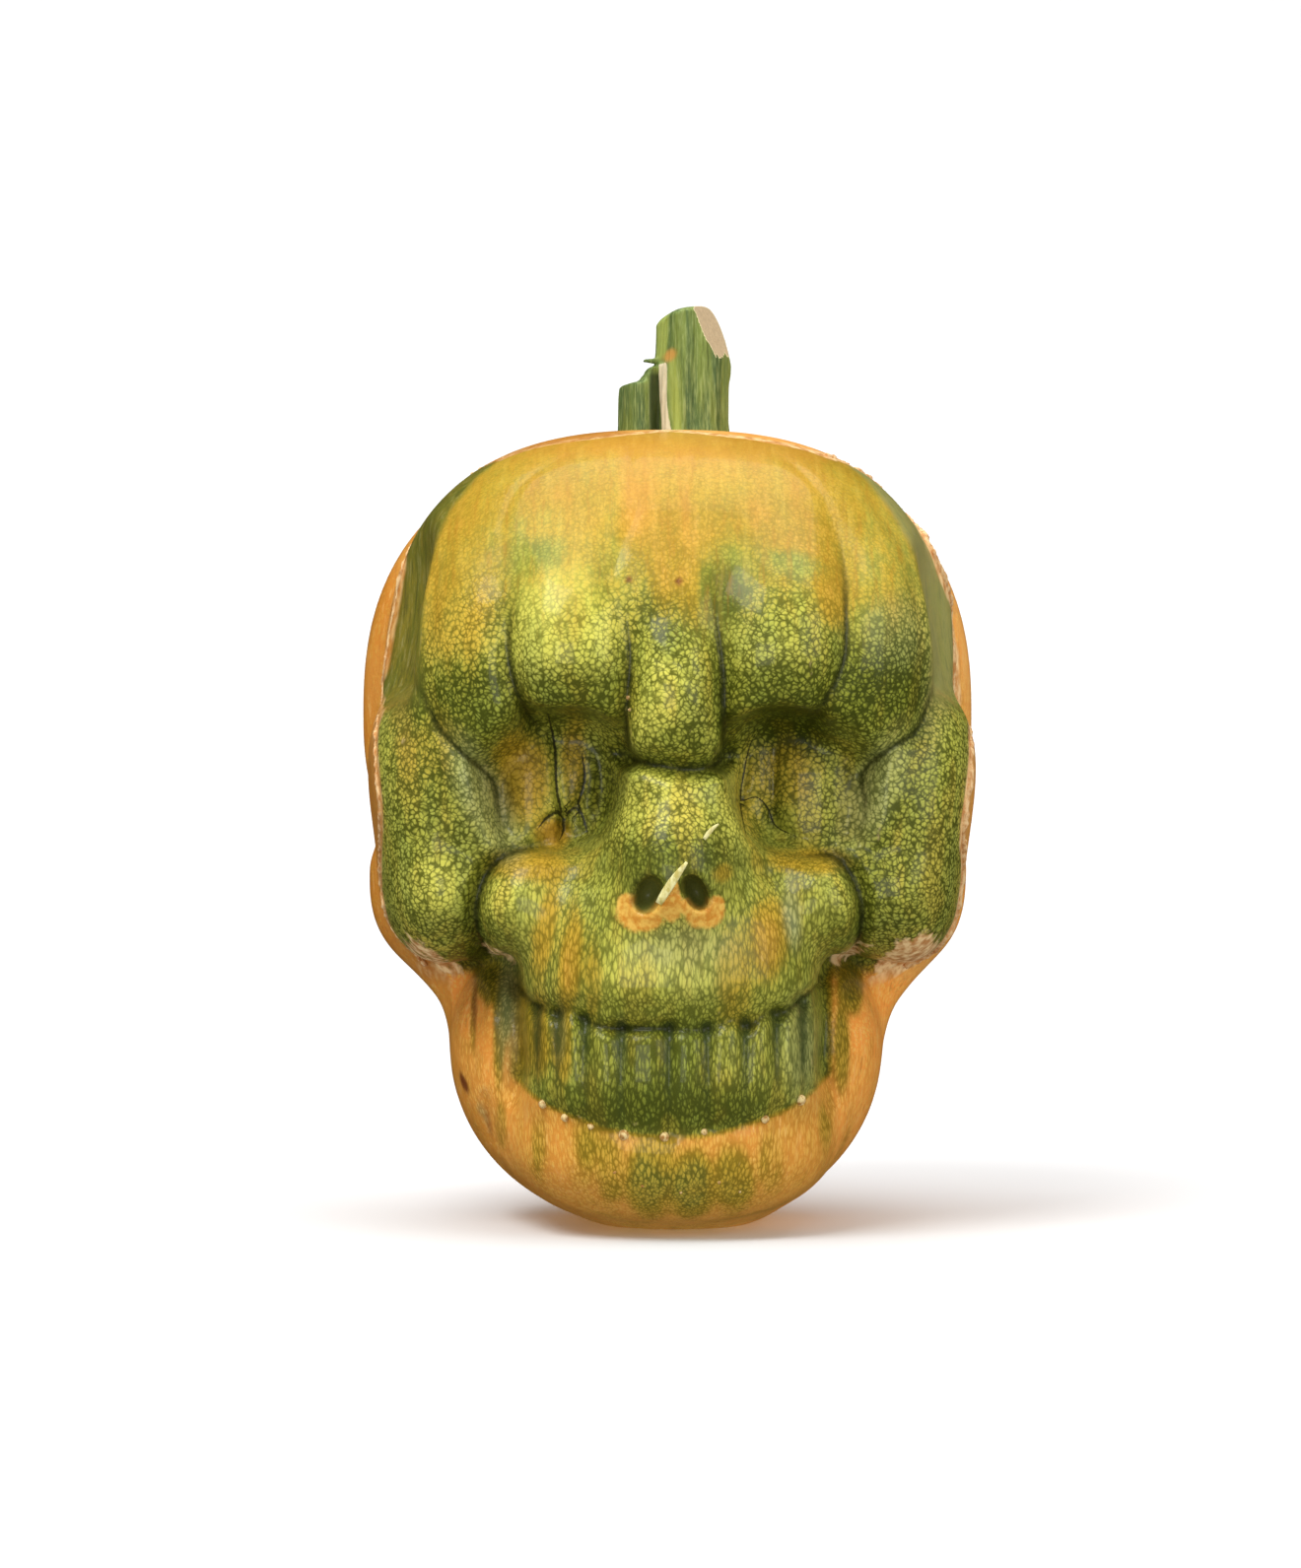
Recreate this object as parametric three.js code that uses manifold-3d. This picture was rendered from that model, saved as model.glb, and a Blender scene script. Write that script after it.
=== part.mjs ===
// Skull-shaped pumpkin, grown inside a two-part mould, with its cut stem.
// Millimetres. X runs to the viewer's right, the face looks along -Y, +Z is up.
// The origin is the middle of the flattened foot the fruit rests on.
import * as THREE from 'three';
import { mergeVertices } from 'three/addons/utils/BufferGeometryUtils.js';
import Module from 'manifold-3d';

const wasm = await Module();
wasm.setup();

// ---------------------------------------------------------------- main sizes
const FOOT_FLAT = 2.5;            // how much of the rounded bottom is pressed flat
const SEAT_HEIGHT = 239.2;        // floor of the dimple that the stem grows from
const SEAT_RADII = [18.6, 15.6];  // the dimple's half-width and half-depth
const STEM_CENTRE = [1.5, 8];     // where the stem stands, across and back
const STEM_RADII = [16.2, 13];    // the stem's half-width and half-depth at its middle
const STEM_TOP = 279.6;           // highest point of the cut stem
const STUB_TOP = 257.5;           // height of the torn stub at the stem's left
const TORN_FACE = -4.8;           // the torn face above the stub, across
const SCAR_POINT = [12.2, -3, 268.6];  // a point on the scar where the fruit was cut off
const SCAR_FACES = [0.84, -0.42, 0.35]; // the way the scar faces
const GAP = 0.3;                  // clearance between fruit and stem
const SKIN_DETAIL = 23;           // subdivisions of the ball the fruit is shaped from
const FACE_CROWDING = 0.42;       // crowds the ball's points towards the face
const HEART = [0, 8, 122];        // the point the skin is measured out from
const PRESS_ROUNDS = 64;          // small steps in which the face is pressed in
const SETTLE_ROUNDS = 24;         // of these, the last ones that only even out the skin
const LARGEST_STEP = 4;           // how far a point may move onto the skin in one step

// ---------------------------------------------------------------- rounded masses
// Each mass is a rounded lump: how it meets the rest, centre, half-sizes
// (a pair gives front and back, or bottom and top), lean and turn in degrees,
// squareness (2 is an ellipsoid) and how widely it blends in.
const frontHalf = [
  ['join', [-0.5, 4, 158], [86.5, [93, 60], [72, 83.5]], 0, 0, 2.65, 0],   // forehead
  ['join', [58, 4, 180], [28, [26, 20], [40, 38]], 0, 0, 2.4, 3],          // fuller right temple
  ['cut', [-94.5, -38, 177], [22, 31, 34], 6, 10, 2.2, 5],                 // left temple
  ['cut', [96.5, -38, 177], [22, 31, 34], -6, -10, 2.2, 5],                // right temple
  ['join', [0, 2, 114], [84.5, [54, 50], 34], 0, 0, 3.0, 4],               // cheek belt
  ['join', [-1, -2, 56], [65.5, [64, 50], [56.5, 44]], 0, 0, 2.1, 5],      // jaw
  ['join', [4, 0, 14], [30, 38, 13.5], 0, 0, 2.2, 8],                      // foot
];
const backHalf = [
  ['join', [-0.5, 22, 156], [94, [27, 74], [72, 84]], 0, 0, 2.45, 0],      // back of the cranium
  ['join', [-0.5, 14, 106], [91.5, [24, 50], [43, 26]], 0, 0, 2.6, 8],     // rim behind the cheeks
  ['join', [0, 10, 90], [72, [22, 66], 62], 0, 0, 2.2, 12],                // nape
  ['join', [-1, 4, 54], [65.5, [20, 50], 52], 0, 0, 2.1, 8],               // rim behind the jaw
];
const sockets = [
  ['cut', [-35, -92, 133], [23, 43, 23], -6, 0, 2.6, 7],                   // left eye socket
  ['cut', [40, -92, 133], [23, 43, 23], 6, 0, 2.6, 7],                     // right eye socket
];
const brow = [
  ['join', [2.5, -50, 172], [70, 38, [19.5, 28]], 0, 0, 2.6, 0],           // brow bar
  ['join', [-56.5, -46, 171], [15, 33, [26, 28]], -3, 14, 2.4, 1.5],       // outer lobes
  ['join', [60, -46, 171], [15.5, 33, [25, 28]], 3, -14, 2.4, 1.5],
  ['join', [-29, -62, 173], [19, 33.5, [19, 26]], 0, 0, 2.3, 1.5],         // inner lobes
  ['join', [32, -62, 173], [20.5, 33, [19.5, 26]], 0, 0, 2.3, 1.5],
  ['join', [1.4, -64, 161], [14.5, 33, [22, 26]], 0, 0, 2.3, 1.5],         // lobe between the brows
];
const BROW_BLEND = 16;             // how widely the brow runs into the forehead
const face = [
  ['cut', [-95, -34, 186], [23, 36, 42], 8, 14, 2.4, 4],                   // smooth temples
  ['cut', [99, -34, 186], [23, 36, 42], -8, -14, 2.4, 4],
  ['cut', [-30, -96, 137.5], [16.5, 43, 19], 0, 0, 2.8, 3],                // undercut of the brow
  ['cut', [31.5, -96, 137.5], [15.5, 43, 19], 0, 0, 2.8, 3],
  ['join', [-59, -36, 151], [12, 27, 18], 24, 0, 2, 9],                    // outer slopes of the sockets
  ['join', [62, -36, 151], [12, 27, 18], -24, 0, 2, 9],
  ['cut', [-60, -58, 84], [14, 22, 9], 0, -20, 2, 6],                      // hollows under the cheeks
  ['cut', [62, -58, 84], [14, 22, 9], 0, 20, 2, 6],
  ['join', [-69, -22, 121], [19, 42, 40], -8, 7, 3.0, 6],                  // left cheek pillow
  ['join', [-62.5, -26, 127], [14.5, 37, 19], 10, 3, 2.6, 8],
  ['join', [-53, -36, 99], [8, 27, 15], 0, 0, 2.2, 3],
  ['join', [-69.5, -24, 104], [14.5, 42, 18], 0, 7, 2.5, 5],
  ['join', [71, -22, 121], [18.5, 42, 40], 8, -7, 3.0, 6],                 // right cheek pillow
  ['join', [66.5, -26, 127], [14.5, 37, 19], -10, -3, 2.6, 8],
  ['join', [54.5, -36, 99], [8, 27, 15], 0, 0, 2.2, 3],
  ['join', [70.5, -24, 104], [14.5, 42, 18], 0, -7, 2.5, 5],
  ['join', [-40, -40, 132], [12.5, 20, 24], 0, 8, 2.8, 4],                 // swellings in the sockets
  ['join', [-25.5, -40, 133], [7.5, 18, 22], 0, 0, 2.6, 3],
  ['join', [43.5, -40, 132], [14.5, 20, 24], 0, -8, 2.8, 4],
  ['join', [25, -40, 133], [6, 17, 20], 0, 0, 2.6, 3],
  ['join', [0.5, -38, 30], [47, [46, 30], [25, 16]], 0, 0, 2.3, 12],       // chin
  ['join', [0, -38, 56], [46.5, 51, 34], 0, 0, 2.7, 6],                    // rows of teeth
  ['join', [0, -44, 78], [46, [48.5, 40], [16, 44]], 0, 0, 2.4, 4],        // upper jaw
  ['join', [-41, -49, 100], [16.5, 29, 16.5], 14, 0, 2.3, 8],              // cheek balls
  ['join', [43, -49, 100], [15, 29, 16], -10, 0, 2.3, 8],
  ['join', [1, -58, 122], [12.5, [34, 30], 34], 0, 0, 2.1, 7],             // bridge of the nose
  ['join', [1.5, -60, 108], [19.5, [39, 30], [22, 25]], 0, 0, 2.3, 10],    // tip of the nose
];
const nostrils = [
  ['cut', [-6.7, -101, 102.6], [4.3, 14, 6.2], 24, 0, 2.2, 1.2],           // cut through the skin's surface
  ['cut', [7.2, -101, 103.4], [3.6, 14, 5.8], -28, 0, 2.2, 1.2],
];

// ---------------------------------------------------------------- creases
// Grooves pressed into the face: half-width, depth, and a run of points seen
// from the front (across, up, share of the full depth).
const creases = [
  [10.5, 5.4, [[-42.5, 205, 0], [-44.6, 188.9, 0.25], [-46.3, 177.7, 0.7],
    [-45.5, 166.5, 1], [-41.8, 155.8, 1], [-37, 149, 0.3]]],                 // brow
  [10.5, 5.4, [[-17.5, 194, 0], [-13.6, 185, 0.25], [-11.6, 172, 0.8],
    [-12.1, 160.8, 1], [-12.6, 152.4, 1], [-12, 142, 0.5]]],                 // brow
  [10.5, 5.4, [[11.5, 198, 0], [12.1, 188.9, 0.3], [13.5, 177.6, 0.75],
    [14.9, 166.4, 1], [15.1, 155.2, 1], [15.7, 142, 0.5]]],                  // brow
  [10.5, 3.6, [[44.7, 222.8, 0], [49.5, 200.3, 0.5], [50.3, 183.4, 0.8],
    [49.5, 169.4, 1], [44, 158, 0.8], [40, 150, 0.2]]],                      // brow
  [8, 6, [[-18, 146, 0], [-11.5, 141.8, 0.8], [-5.3, 140.1, 1], [3.1, 138.7, 1],
    [10.9, 139.2, 1], [15.7, 141.8, 0.8], [21, 146, 0]]],                    // nose root
  [9.5, 4.2, [[-80, 170, 0], [-72, 160, 0.5], [-66.9, 150.6, 1], [-59.8, 142.9, 1],
    [-52, 135.7, 0.8], [-50, 127, 0.6], [-48, 118, 0.3]]],                   // socket side
  [9.5, 4.2, [[84, 172, 0], [77, 162, 0.5], [71.8, 150, 1], [63.2, 144.3, 1],
    [56, 137, 0.8], [57, 127, 0.6], [54.8, 118.5, 0.3]]],                    // socket side
  [8, 6, [[-27, 116, 0], [-34, 115.5, 0.3], [-38.2, 116.3, 0.5], [-48.2, 113.4, 0.9],
    [-53.9, 107.2, 1], [-56.5, 98.6, 1], [-55.9, 90, 1], [-53.4, 80, 0.6]]], // cheek
  [8, 6, [[30, 114, 0], [38, 113.5, 0.4], [47.4, 113.4, 0.8], [52.2, 108.6, 1],
    [55.1, 101.5, 1], [55.7, 92.9, 1], [53.9, 80, 0.6]]],                    // cheek
  [6.5, 4.2, [[-50, 79, 0.3], [-43.3, 72.4, 0.6], [-34.6, 68.4, 0.5], [-29, 69.8, 0.4],
    [-24.5, 66.7, 0.6], [-17, 64.5, 0.9], [-9, 64.5, 1], [-1.4, 64.5, 0.7],
    [10.4, 64.2, 0.6], [18, 67, 0.5], [22.5, 64.8, 0.7], [27, 68.4, 0.5],
    [32.9, 68.7, 0.7], [39.9, 73.2, 0.7], [48, 79, 0.3]]],                   // gum
  [6.5, 1.6, [[-48, 50, 0.4], [-36.7, 42, 1], [-30.2, 38.4, 1], [-22.8, 36.1, 1],
    [-13.3, 33.8, 1], [-1.7, 33.3, 1], [9.6, 34.7, 1], [27.1, 38.1, 1], [37.5, 43.1, 1],
    [49, 50, 0.4]]],                                                         // lower gum
  [8, 4, [[-50, 86, 0], [-46.2, 79.8, 0.8], [-44.8, 64, 1], [-43.4, 52.5, 1],
    [-45.1, 43.9, 0.6], [-47, 38, 0]]],                                      // mouth corner
  [8, 4, [[50, 86, 0], [45.5, 78.3, 0.8], [45.7, 64, 1], [45.1, 52.5, 1],
    [47.7, 43.9, 0.6], [49, 38, 0]]],                                        // mouth corner
  [5, 2, [[-61, 80, 0], [-58.4, 74, 0.8], [-57.4, 66, 1], [-58.6, 58, 0.6],
    [-58, 50, 0]]],                                                          // jaw fold
  [6, 1.5, [[-52, 84, 0], [-50.5, 74, 0.8], [-50, 62, 1], [-51, 50, 0.6],
    [-50, 42, 0]]],                                                          // jaw fold
  [6, 1.8, [[56, 84, 0], [54.5, 74, 0.8], [53, 62, 1], [54, 50, 0.6], [53, 40, 0]]], // jaw fold
  [5, 1.6, [[-56, 44, 0], [-54.3, 40, 0.8], [-53.1, 30, 0.8], [-50, 24, 0]]], // jaw fold
  [4, 0.8, [[-60, 222, 0], [-67, 199, 0.8], [-69.2, 176.7, 1], [-68.4, 160.3, 1],
    [-64.3, 149.9, 0.3]]],                                                   // face edge
  [4, 0.8, [[57, 222, 0.3], [69.8, 198.6, 1], [72.6, 176.7, 1], [73.2, 163, 1],
    [68.5, 149.3, 0.3]]],                                                    // face edge
];
const CREASE_END = -20;           // creases fade out over 15 mm in front of this plane
const RIB_COUNT = 5;              // half the number of ribs round the whole fruit
const RIB_DEPTH = 2;

// ---------------------------------------------------------------- shaping
const clamp01 = (v) => Math.min(1, Math.max(0, v));
const ease = (v) => clamp01(v) ** 2 * (3 - 2 * clamp01(v));
const both = (size) => (Array.isArray(size) ? size : [size, size]);

// Unpacks one line of the tables above.
function prepare([how, centre, sizes, lean, turn, power, blend]) {
  const a = THREE.MathUtils.degToRad(lean);
  const b = THREE.MathUtils.degToRad(turn);
  return {
    how, centre, power, blend,
    across: sizes[0],
    deep: both(sizes[1]),
    tall: both(sizes[2]),
    lean: [Math.cos(a), Math.sin(a)],
    turn: [Math.cos(b), Math.sin(b)],
  };
}
const frontMasses = frontHalf.map(prepare);
const backMasses = backHalf.map(prepare);
const socketMasses = sockets.map(prepare);
const browMasses = brow.map(prepare);
const faceMasses = face.map(prepare);

// About how far a point is outside a mass (negative inside).
function outside(px, py, pz, m) {
  const x0 = px - m.centre[0];
  const y0 = py - m.centre[1];
  const z0 = pz - m.centre[2];
  const x1 = x0 * m.lean[0] - z0 * m.lean[1];
  const z = x0 * m.lean[1] + z0 * m.lean[0];
  const x = x1 * m.turn[0] + y0 * m.turn[1];
  const y = y0 * m.turn[0] - x1 * m.turn[1];
  const [rx, ry, rz] = [m.across, m.deep[y < 0 ? 0 : 1], m.tall[z < 0 ? 0 : 1]];
  const u = Math.abs(x) / rx;
  const v = Math.abs(y) / ry;
  const w = Math.abs(z) / rz;
  const q = m.power - 1;
  const [uq, vq, wq] = [u ** q, v ** q, w ** q];
  const reach = (uq * u + vq * v + wq * w) ** (1 / m.power) + 1e-6;
  const steep = Math.sqrt((uq / rx) ** 2 + (vq / ry) ** 2 + (wq / rz) ** 2);
  return (reach - 1) / (reach ** -q * steep + 1e-9);
}

function join(a, b, blend) {
  const h = Math.max(blend - Math.abs(a - b), 0);
  return Math.min(a, b) - (blend > 0 ? (h * h) / (4 * blend) : 0);
}

function cut(a, b, blend) {
  const h = Math.max(blend - Math.abs(a + b), 0);
  return Math.max(a, -b) + (h * h) / (4 * blend);
}

function shape(x, y, z, masses, start = 1e6) {
  let value = start;
  for (const mass of masses) {
    const other = outside(x, y, z, mass);
    value = mass.how === 'join' ? join(value, other, mass.blend) : cut(value, other, mass.blend);
  }
  return value;
}

// A crease's points as short straight runs, with the box they can reach.
function prepareCrease([width, depth, points]) {
  const curve = new THREE.CatmullRomCurve3(
    points.map(([x, z]) => new THREE.Vector3(x, 0, z)), false, 'centripetal');
  const steps = (points.length - 1) * 4;
  const run = Array.from({ length: steps + 1 }, (_, i) => {
    const at = curve.getPoint(i / steps);
    const k = Math.min(points.length - 2, Math.floor(i / 4));
    const share = THREE.MathUtils.lerp(points[k][2], points[k + 1][2], i / 4 - k);
    return [at.x, at.z, share];
  });
  const xs = run.map((p) => p[0]);
  const zs = run.map((p) => p[1]);
  return {
    width, depth, run,
    low: [Math.min(...xs) - width, Math.min(...zs) - width],
    high: [Math.max(...xs) + width, Math.max(...zs) + width],
  };
}
const preparedCreases = creases.map(prepareCrease);

function pressedIn(x, y, z) {
  if (y > CREASE_END) {
    return 0;
  }
  let total = 0;
  for (const { width, depth, run, low, high } of preparedCreases) {
    if (x < low[0] || x > high[0] || z < low[1] || z > high[1]) {
      continue;
    }
    let nearest = width;
    let share = 0;
    for (let i = 0; i + 1 < run.length; i += 1) {
      const [ax, az, as] = run[i];
      const [bx, bz, bs] = run[i + 1];
      const length2 = (bx - ax) ** 2 + (bz - az) ** 2 + 1e-9;
      const t = clamp01(((x - ax) * (bx - ax) + (z - az) * (bz - az)) / length2);
      const away = Math.hypot(x - ax - t * (bx - ax), z - az - t * (bz - az));
      if (away < nearest) {
        nearest = away;
        share = as + (bs - as) * t;
      }
    }
    total += depth * share * clamp01(1 - nearest / width) ** 2;
  }
  return total * ease((CREASE_END - y) / 15);
}

// Ribs that run down the back half from the stem.
function ribs(x, y, z) {
  const around = Math.atan2(x, y - 8);
  const groove = (1 - Math.abs(Math.cos(RIB_COUNT * around))) ** 2;
  return RIB_DEPTH * groove * ease((y - 12) / 40) * ease((235 - z) / 60) * ease((z - 10) / 60);
}

// The plain fruit before the face is pressed into it, and the finished skin.
function plainSkin(x, y, z) {
  return join(shape(x, y, z, frontMasses), shape(x, y, z, backMasses), 2);
}

function skin(x, y, z, pressed = 1) {
  const plain = plainSkin(x, y, z);
  const browed = join(shape(x, y, z, socketMasses, plain), shape(x, y, z, browMasses), BROW_BLEND);
  const full = shape(x, y, z, faceMasses, browed) + pressedIn(x, y, z) + ribs(x, y, z);
  return plain + (full - plain) * pressed;
}

// Walks in from outside to the plain fruit along one direction.
function plainPoint(direction) {
  const at = (r) => plainSkin(...HEART.map((c, i) => c + direction[i] * r));
  let outer = 175;
  let inner = outer;
  for (let value = at(inner); value > 0; value = at(inner)) {
    outer = inner;
    inner -= Math.max(0.8, value * 0.6);
  }
  for (let i = 0; i < 14; i += 1) {
    const middle = (outer + inner) / 2;
    [outer, inner] = at(middle) > 0 ? [middle, inner] : [outer, middle];
  }
  return HEART.map((c, i) => c + direction[i] * inner);
}

// The way the skin faces at a point, and how far the point is off it.
function skinFacing(p, pressed) {
  const here = skin(p.x, p.y, p.z, pressed);
  const e = 0.3;
  const facing = new THREE.Vector3(
    skin(p.x + e, p.y, p.z, pressed) - here,
    skin(p.x, p.y + e, p.z, pressed) - here,
    skin(p.x, p.y, p.z + e, pressed) - here);
  const steep = facing.length() / e;
  facing.normalize();
  return { facing, off: here / Math.max(steep, 0.4) };
}

// ---------------------------------------------------------------- solids
function weld(geometry) {
  geometry.deleteAttribute('normal');
  geometry.deleteAttribute('uv');
  return mergeVertices(geometry, 1e-4);
}

function toSolid(geometry) {
  const welded = weld(geometry);
  return new wasm.Manifold(new wasm.Mesh({
    numProp: 3,
    vertProperties: new Float32Array(welded.attributes.position.array),
    triVerts: new Uint32Array(welded.index.array),
  }));
}

function toGeometry(solid) {
  const mesh = solid.getMesh();
  const geometry = new THREE.BufferGeometry();
  geometry.setAttribute('position', new THREE.BufferAttribute(new Float32Array(mesh.vertProperties), 3));
  geometry.setIndex(new THREE.BufferAttribute(new Uint32Array(mesh.triVerts), 1));
  geometry.translate(0, 0, -FOOT_FLAT);
  geometry.computeVertexNormals();
  return geometry;
}

function box(size, centre, tilt = [0, 0, 0]) {
  const geometry = new THREE.BoxGeometry(...size);
  geometry.rotateX(THREE.MathUtils.degToRad(tilt[0]));
  geometry.rotateY(THREE.MathUtils.degToRad(tilt[1]));
  geometry.translate(...centre);
  return toSolid(geometry);
}

// Presses the face in little by little. Each round evens the points out along the
// skin while they follow it inwards, so the hollows get their share of them.
function pressFace(points, index) {
  const near = points.map(() => new Set());
  for (let i = 0; i < index.length; i += 3) {
    const [a, b, c] = [index[i], index[i + 1], index[i + 2]];
    near[a].add(b).add(c);
    near[b].add(a).add(c);
    near[c].add(a).add(b);
  }
  for (let round = 1; round <= PRESS_ROUNDS; round += 1) {
    const pressed = Math.min(1, round / (PRESS_ROUNDS - SETTLE_ROUNDS));
    const evening = round < PRESS_ROUNDS - 1 ? 0.6 : 0;
    const moved = points.map((p, i) => {
      const { facing, off } = skinFacing(p, pressed);
      const step = new THREE.Vector3();
      near[i].forEach((k) => step.add(points[k]));
      step.divideScalar(near[i].size).sub(p).multiplyScalar(evening);
      step.addScaledVector(facing, -step.dot(facing));
      step.addScaledVector(facing, -THREE.MathUtils.clamp(off, -LARGEST_STEP, LARGEST_STEP));
      return step.add(p);
    });
    moved.forEach((p, i) => points[i].copy(p));
  }
}

function makeFruit() {
  const ball = weld(new THREE.IcosahedronGeometry(1, SKIN_DETAIL));
  const position = ball.attributes.position;
  const points = Array.from({ length: position.count }, (_, i) => {
    const direction = new THREE.Vector3().fromBufferAttribute(position, i);
    direction.y -= FACE_CROWDING;
    direction.normalize();
    return new THREE.Vector3(...plainPoint(direction.toArray()));
  });
  pressFace(points, ball.index.array);
  points.forEach((p, i) => position.setXYZ(i, p.x, p.y, p.z));
  const foot = box([160, 160, 40], [0, 0, FOOT_FLAT - 20]);
  const dimple = new THREE.CylinderGeometry(1, 1, 20, 32);
  dimple.rotateX(Math.PI / 2);
  dimple.scale(SEAT_RADII[0], SEAT_RADII[1], 1);
  dimple.translate(STEM_CENTRE[0], STEM_CENTRE[1], SEAT_HEIGHT + 10);
  let fruit = toSolid(ball).subtract(foot).subtract(toSolid(dimple));
  for (const [, centre, half, lean] of nostrils) {
    const hole = new THREE.SphereGeometry(1, 16, 10);
    hole.scale(...half);
    hole.rotateY(THREE.MathUtils.degToRad(lean));
    hole.translate(...centre);
    fruit = fruit.subtract(toSolid(hole));
  }
  return fruit;
}

function makeStem() {
  const bottom = SEAT_HEIGHT + GAP;
  const height = STEM_TOP + 4 - bottom;
  const stalk = new THREE.CylinderGeometry(1, 1, height, 64, 8);
  stalk.rotateX(Math.PI / 2);
  const points = stalk.attributes.position;
  for (let i = 0; i < points.count; i += 1) {
    const [x, y, z] = [points.getX(i), points.getY(i), points.getZ(i) + height / 2];
    const around = Math.atan2(y, x);
    const ridges = 1 + 0.05 * Math.cos(8 * around + 0.4);
    const taper = 1 + 0.03 * ease(1 - z / 12) - 0.02 * ease(z / height);
    points.setXYZ(i,
      STEM_CENTRE[0] + x * STEM_RADII[0] * ridges * taper,
      STEM_CENTRE[1] + y * STEM_RADII[1] * ridges * taper,
      bottom + z);
  }
  const torn = box([40, 60, 60], [TORN_FACE - 20, 8, STUB_TOP + 30], [0, -6]);
  const topCut = box([60, 60, 20], [2, 8, STEM_TOP + 9.4], [9, 4]);
  const scarCut = new THREE.BoxGeometry(30, 60, 60);
  scarCut.translate(15, 0, 0);
  scarCut.applyQuaternion(new THREE.Quaternion().setFromUnitVectors(
    new THREE.Vector3(1, 0, 0), new THREE.Vector3(...SCAR_FACES).normalize()));
  scarCut.translate(...SCAR_POINT);
  return toSolid(stalk).subtract(torn).subtract(topCut).subtract(toSolid(scarCut));
}

// ---------------------------------------------------------------- the part
function piece(name, solid, color, roughness) {
  const mesh = new THREE.Mesh(
    toGeometry(solid),
    new THREE.MeshStandardMaterial({ color, roughness, metalness: 0 }));
  mesh.name = name;
  return mesh;
}

const part = new THREE.Group();
part.name = 'skull_pumpkin';
part.add(piece('pumpkin_body', makeFruit(), '#9a8f3a', 0.4));
part.add(piece('stem', makeStem(), '#748038', 0.65));

export default part;
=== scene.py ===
import math

import bpy
import numpy as np
from bpy.props import FloatProperty, FloatVectorProperty, PointerProperty
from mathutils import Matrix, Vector, noise


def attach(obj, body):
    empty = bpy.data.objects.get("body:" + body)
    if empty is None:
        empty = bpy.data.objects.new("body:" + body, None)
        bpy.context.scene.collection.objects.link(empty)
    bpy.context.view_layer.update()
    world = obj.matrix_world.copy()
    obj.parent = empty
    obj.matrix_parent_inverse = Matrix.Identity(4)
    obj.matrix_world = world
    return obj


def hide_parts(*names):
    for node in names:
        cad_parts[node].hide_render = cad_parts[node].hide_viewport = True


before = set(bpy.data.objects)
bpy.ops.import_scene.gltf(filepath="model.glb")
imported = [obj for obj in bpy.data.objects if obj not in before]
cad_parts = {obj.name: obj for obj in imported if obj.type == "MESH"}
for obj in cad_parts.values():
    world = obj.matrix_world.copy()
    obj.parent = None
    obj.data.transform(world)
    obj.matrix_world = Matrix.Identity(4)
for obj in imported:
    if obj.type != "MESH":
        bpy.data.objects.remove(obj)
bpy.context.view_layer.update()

bl_info = {
    "name": "Skull Pumpkin",
    "version": (1, 0, 0),
    "blender": (4, 5, 0),
    "location": "View3D > Sidebar > Skull Pumpkin",
    "description": "Grows a skull-shaped pumpkin with its cut stem, and sets it on a pale floor",
    "category": "Add Mesh",
}

# Everything is drawn in millimetres above the rounded bottom of the fruit.
# The foot is pressed flat by FOOT_FLAT, and the floor is at the flat.
MM = 0.001
FOOT_FLAT = 2.5
# the middle that the skin's mesh grows from and that the grooves run round
HEART = (0.0, 8.0, 122.0)

# --- the fruit's shape

# Rounded masses: how it meets the rest, centre, half-sizes (a pair gives front and
# back, or bottom and top), lean and turn in degrees, squareness, width of the blend.
FRONT_HALF = [
    ("join", (-0.5, 4, 158), (86.5, (93, 60), (72, 83.5)), 0, 0, 2.65, 0),
    ("join", (58, 4, 180), (28, (26, 20), (40, 38)), 0, 0, 2.4, 3),
    ("cut", (-94.5, -38, 177), (22, 31, 34), 6, 10, 2.2, 5),
    ("cut", (96.5, -38, 177), (22, 31, 34), -6, -10, 2.2, 5),
    ("join", (0, 2, 114), (84.5, (54, 50), 34), 0, 0, 3.0, 4),
    ("join", (-1, -2, 56), (65.5, (64, 50), (56.5, 44)), 0, 0, 2.1, 5),
    ("join", (4, 0, 14), (30, 38, 13.5), 0, 0, 2.2, 8),
]
BACK_HALF = [
    ("join", (-0.5, 22, 156), (94, (27, 74), (72, 84)), 0, 0, 2.45, 0),
    ("join", (-0.5, 14, 106), (91.5, (24, 50), (43, 26)), 0, 0, 2.6, 8),
    ("join", (0, 10, 90), (72, (22, 66), 62), 0, 0, 2.2, 12),
    ("join", (-1, 4, 54), (65.5, (20, 50), 52), 0, 0, 2.1, 8),
]
BROW = [
    ("join", (2.5, -50, 172), (70, 38, (19.5, 28)), 0, 0, 2.6, 0),
    ("join", (-56.5, -46, 171), (15, 33, (26, 28)), -3, 14, 2.4, 1.5),
    ("join", (60, -46, 171), (15.5, 33, (25, 28)), 3, -14, 2.4, 1.5),
    ("join", (-29, -62, 173), (19, 33.5, (19, 26)), 0, 0, 2.3, 1.5),
    ("join", (32, -62, 173), (20.5, 33, (19.5, 26)), 0, 0, 2.3, 1.5),
    ("join", (1.4, -64, 161), (14.5, 33, (22, 26)), 0, 0, 2.3, 1.5),
]
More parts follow.
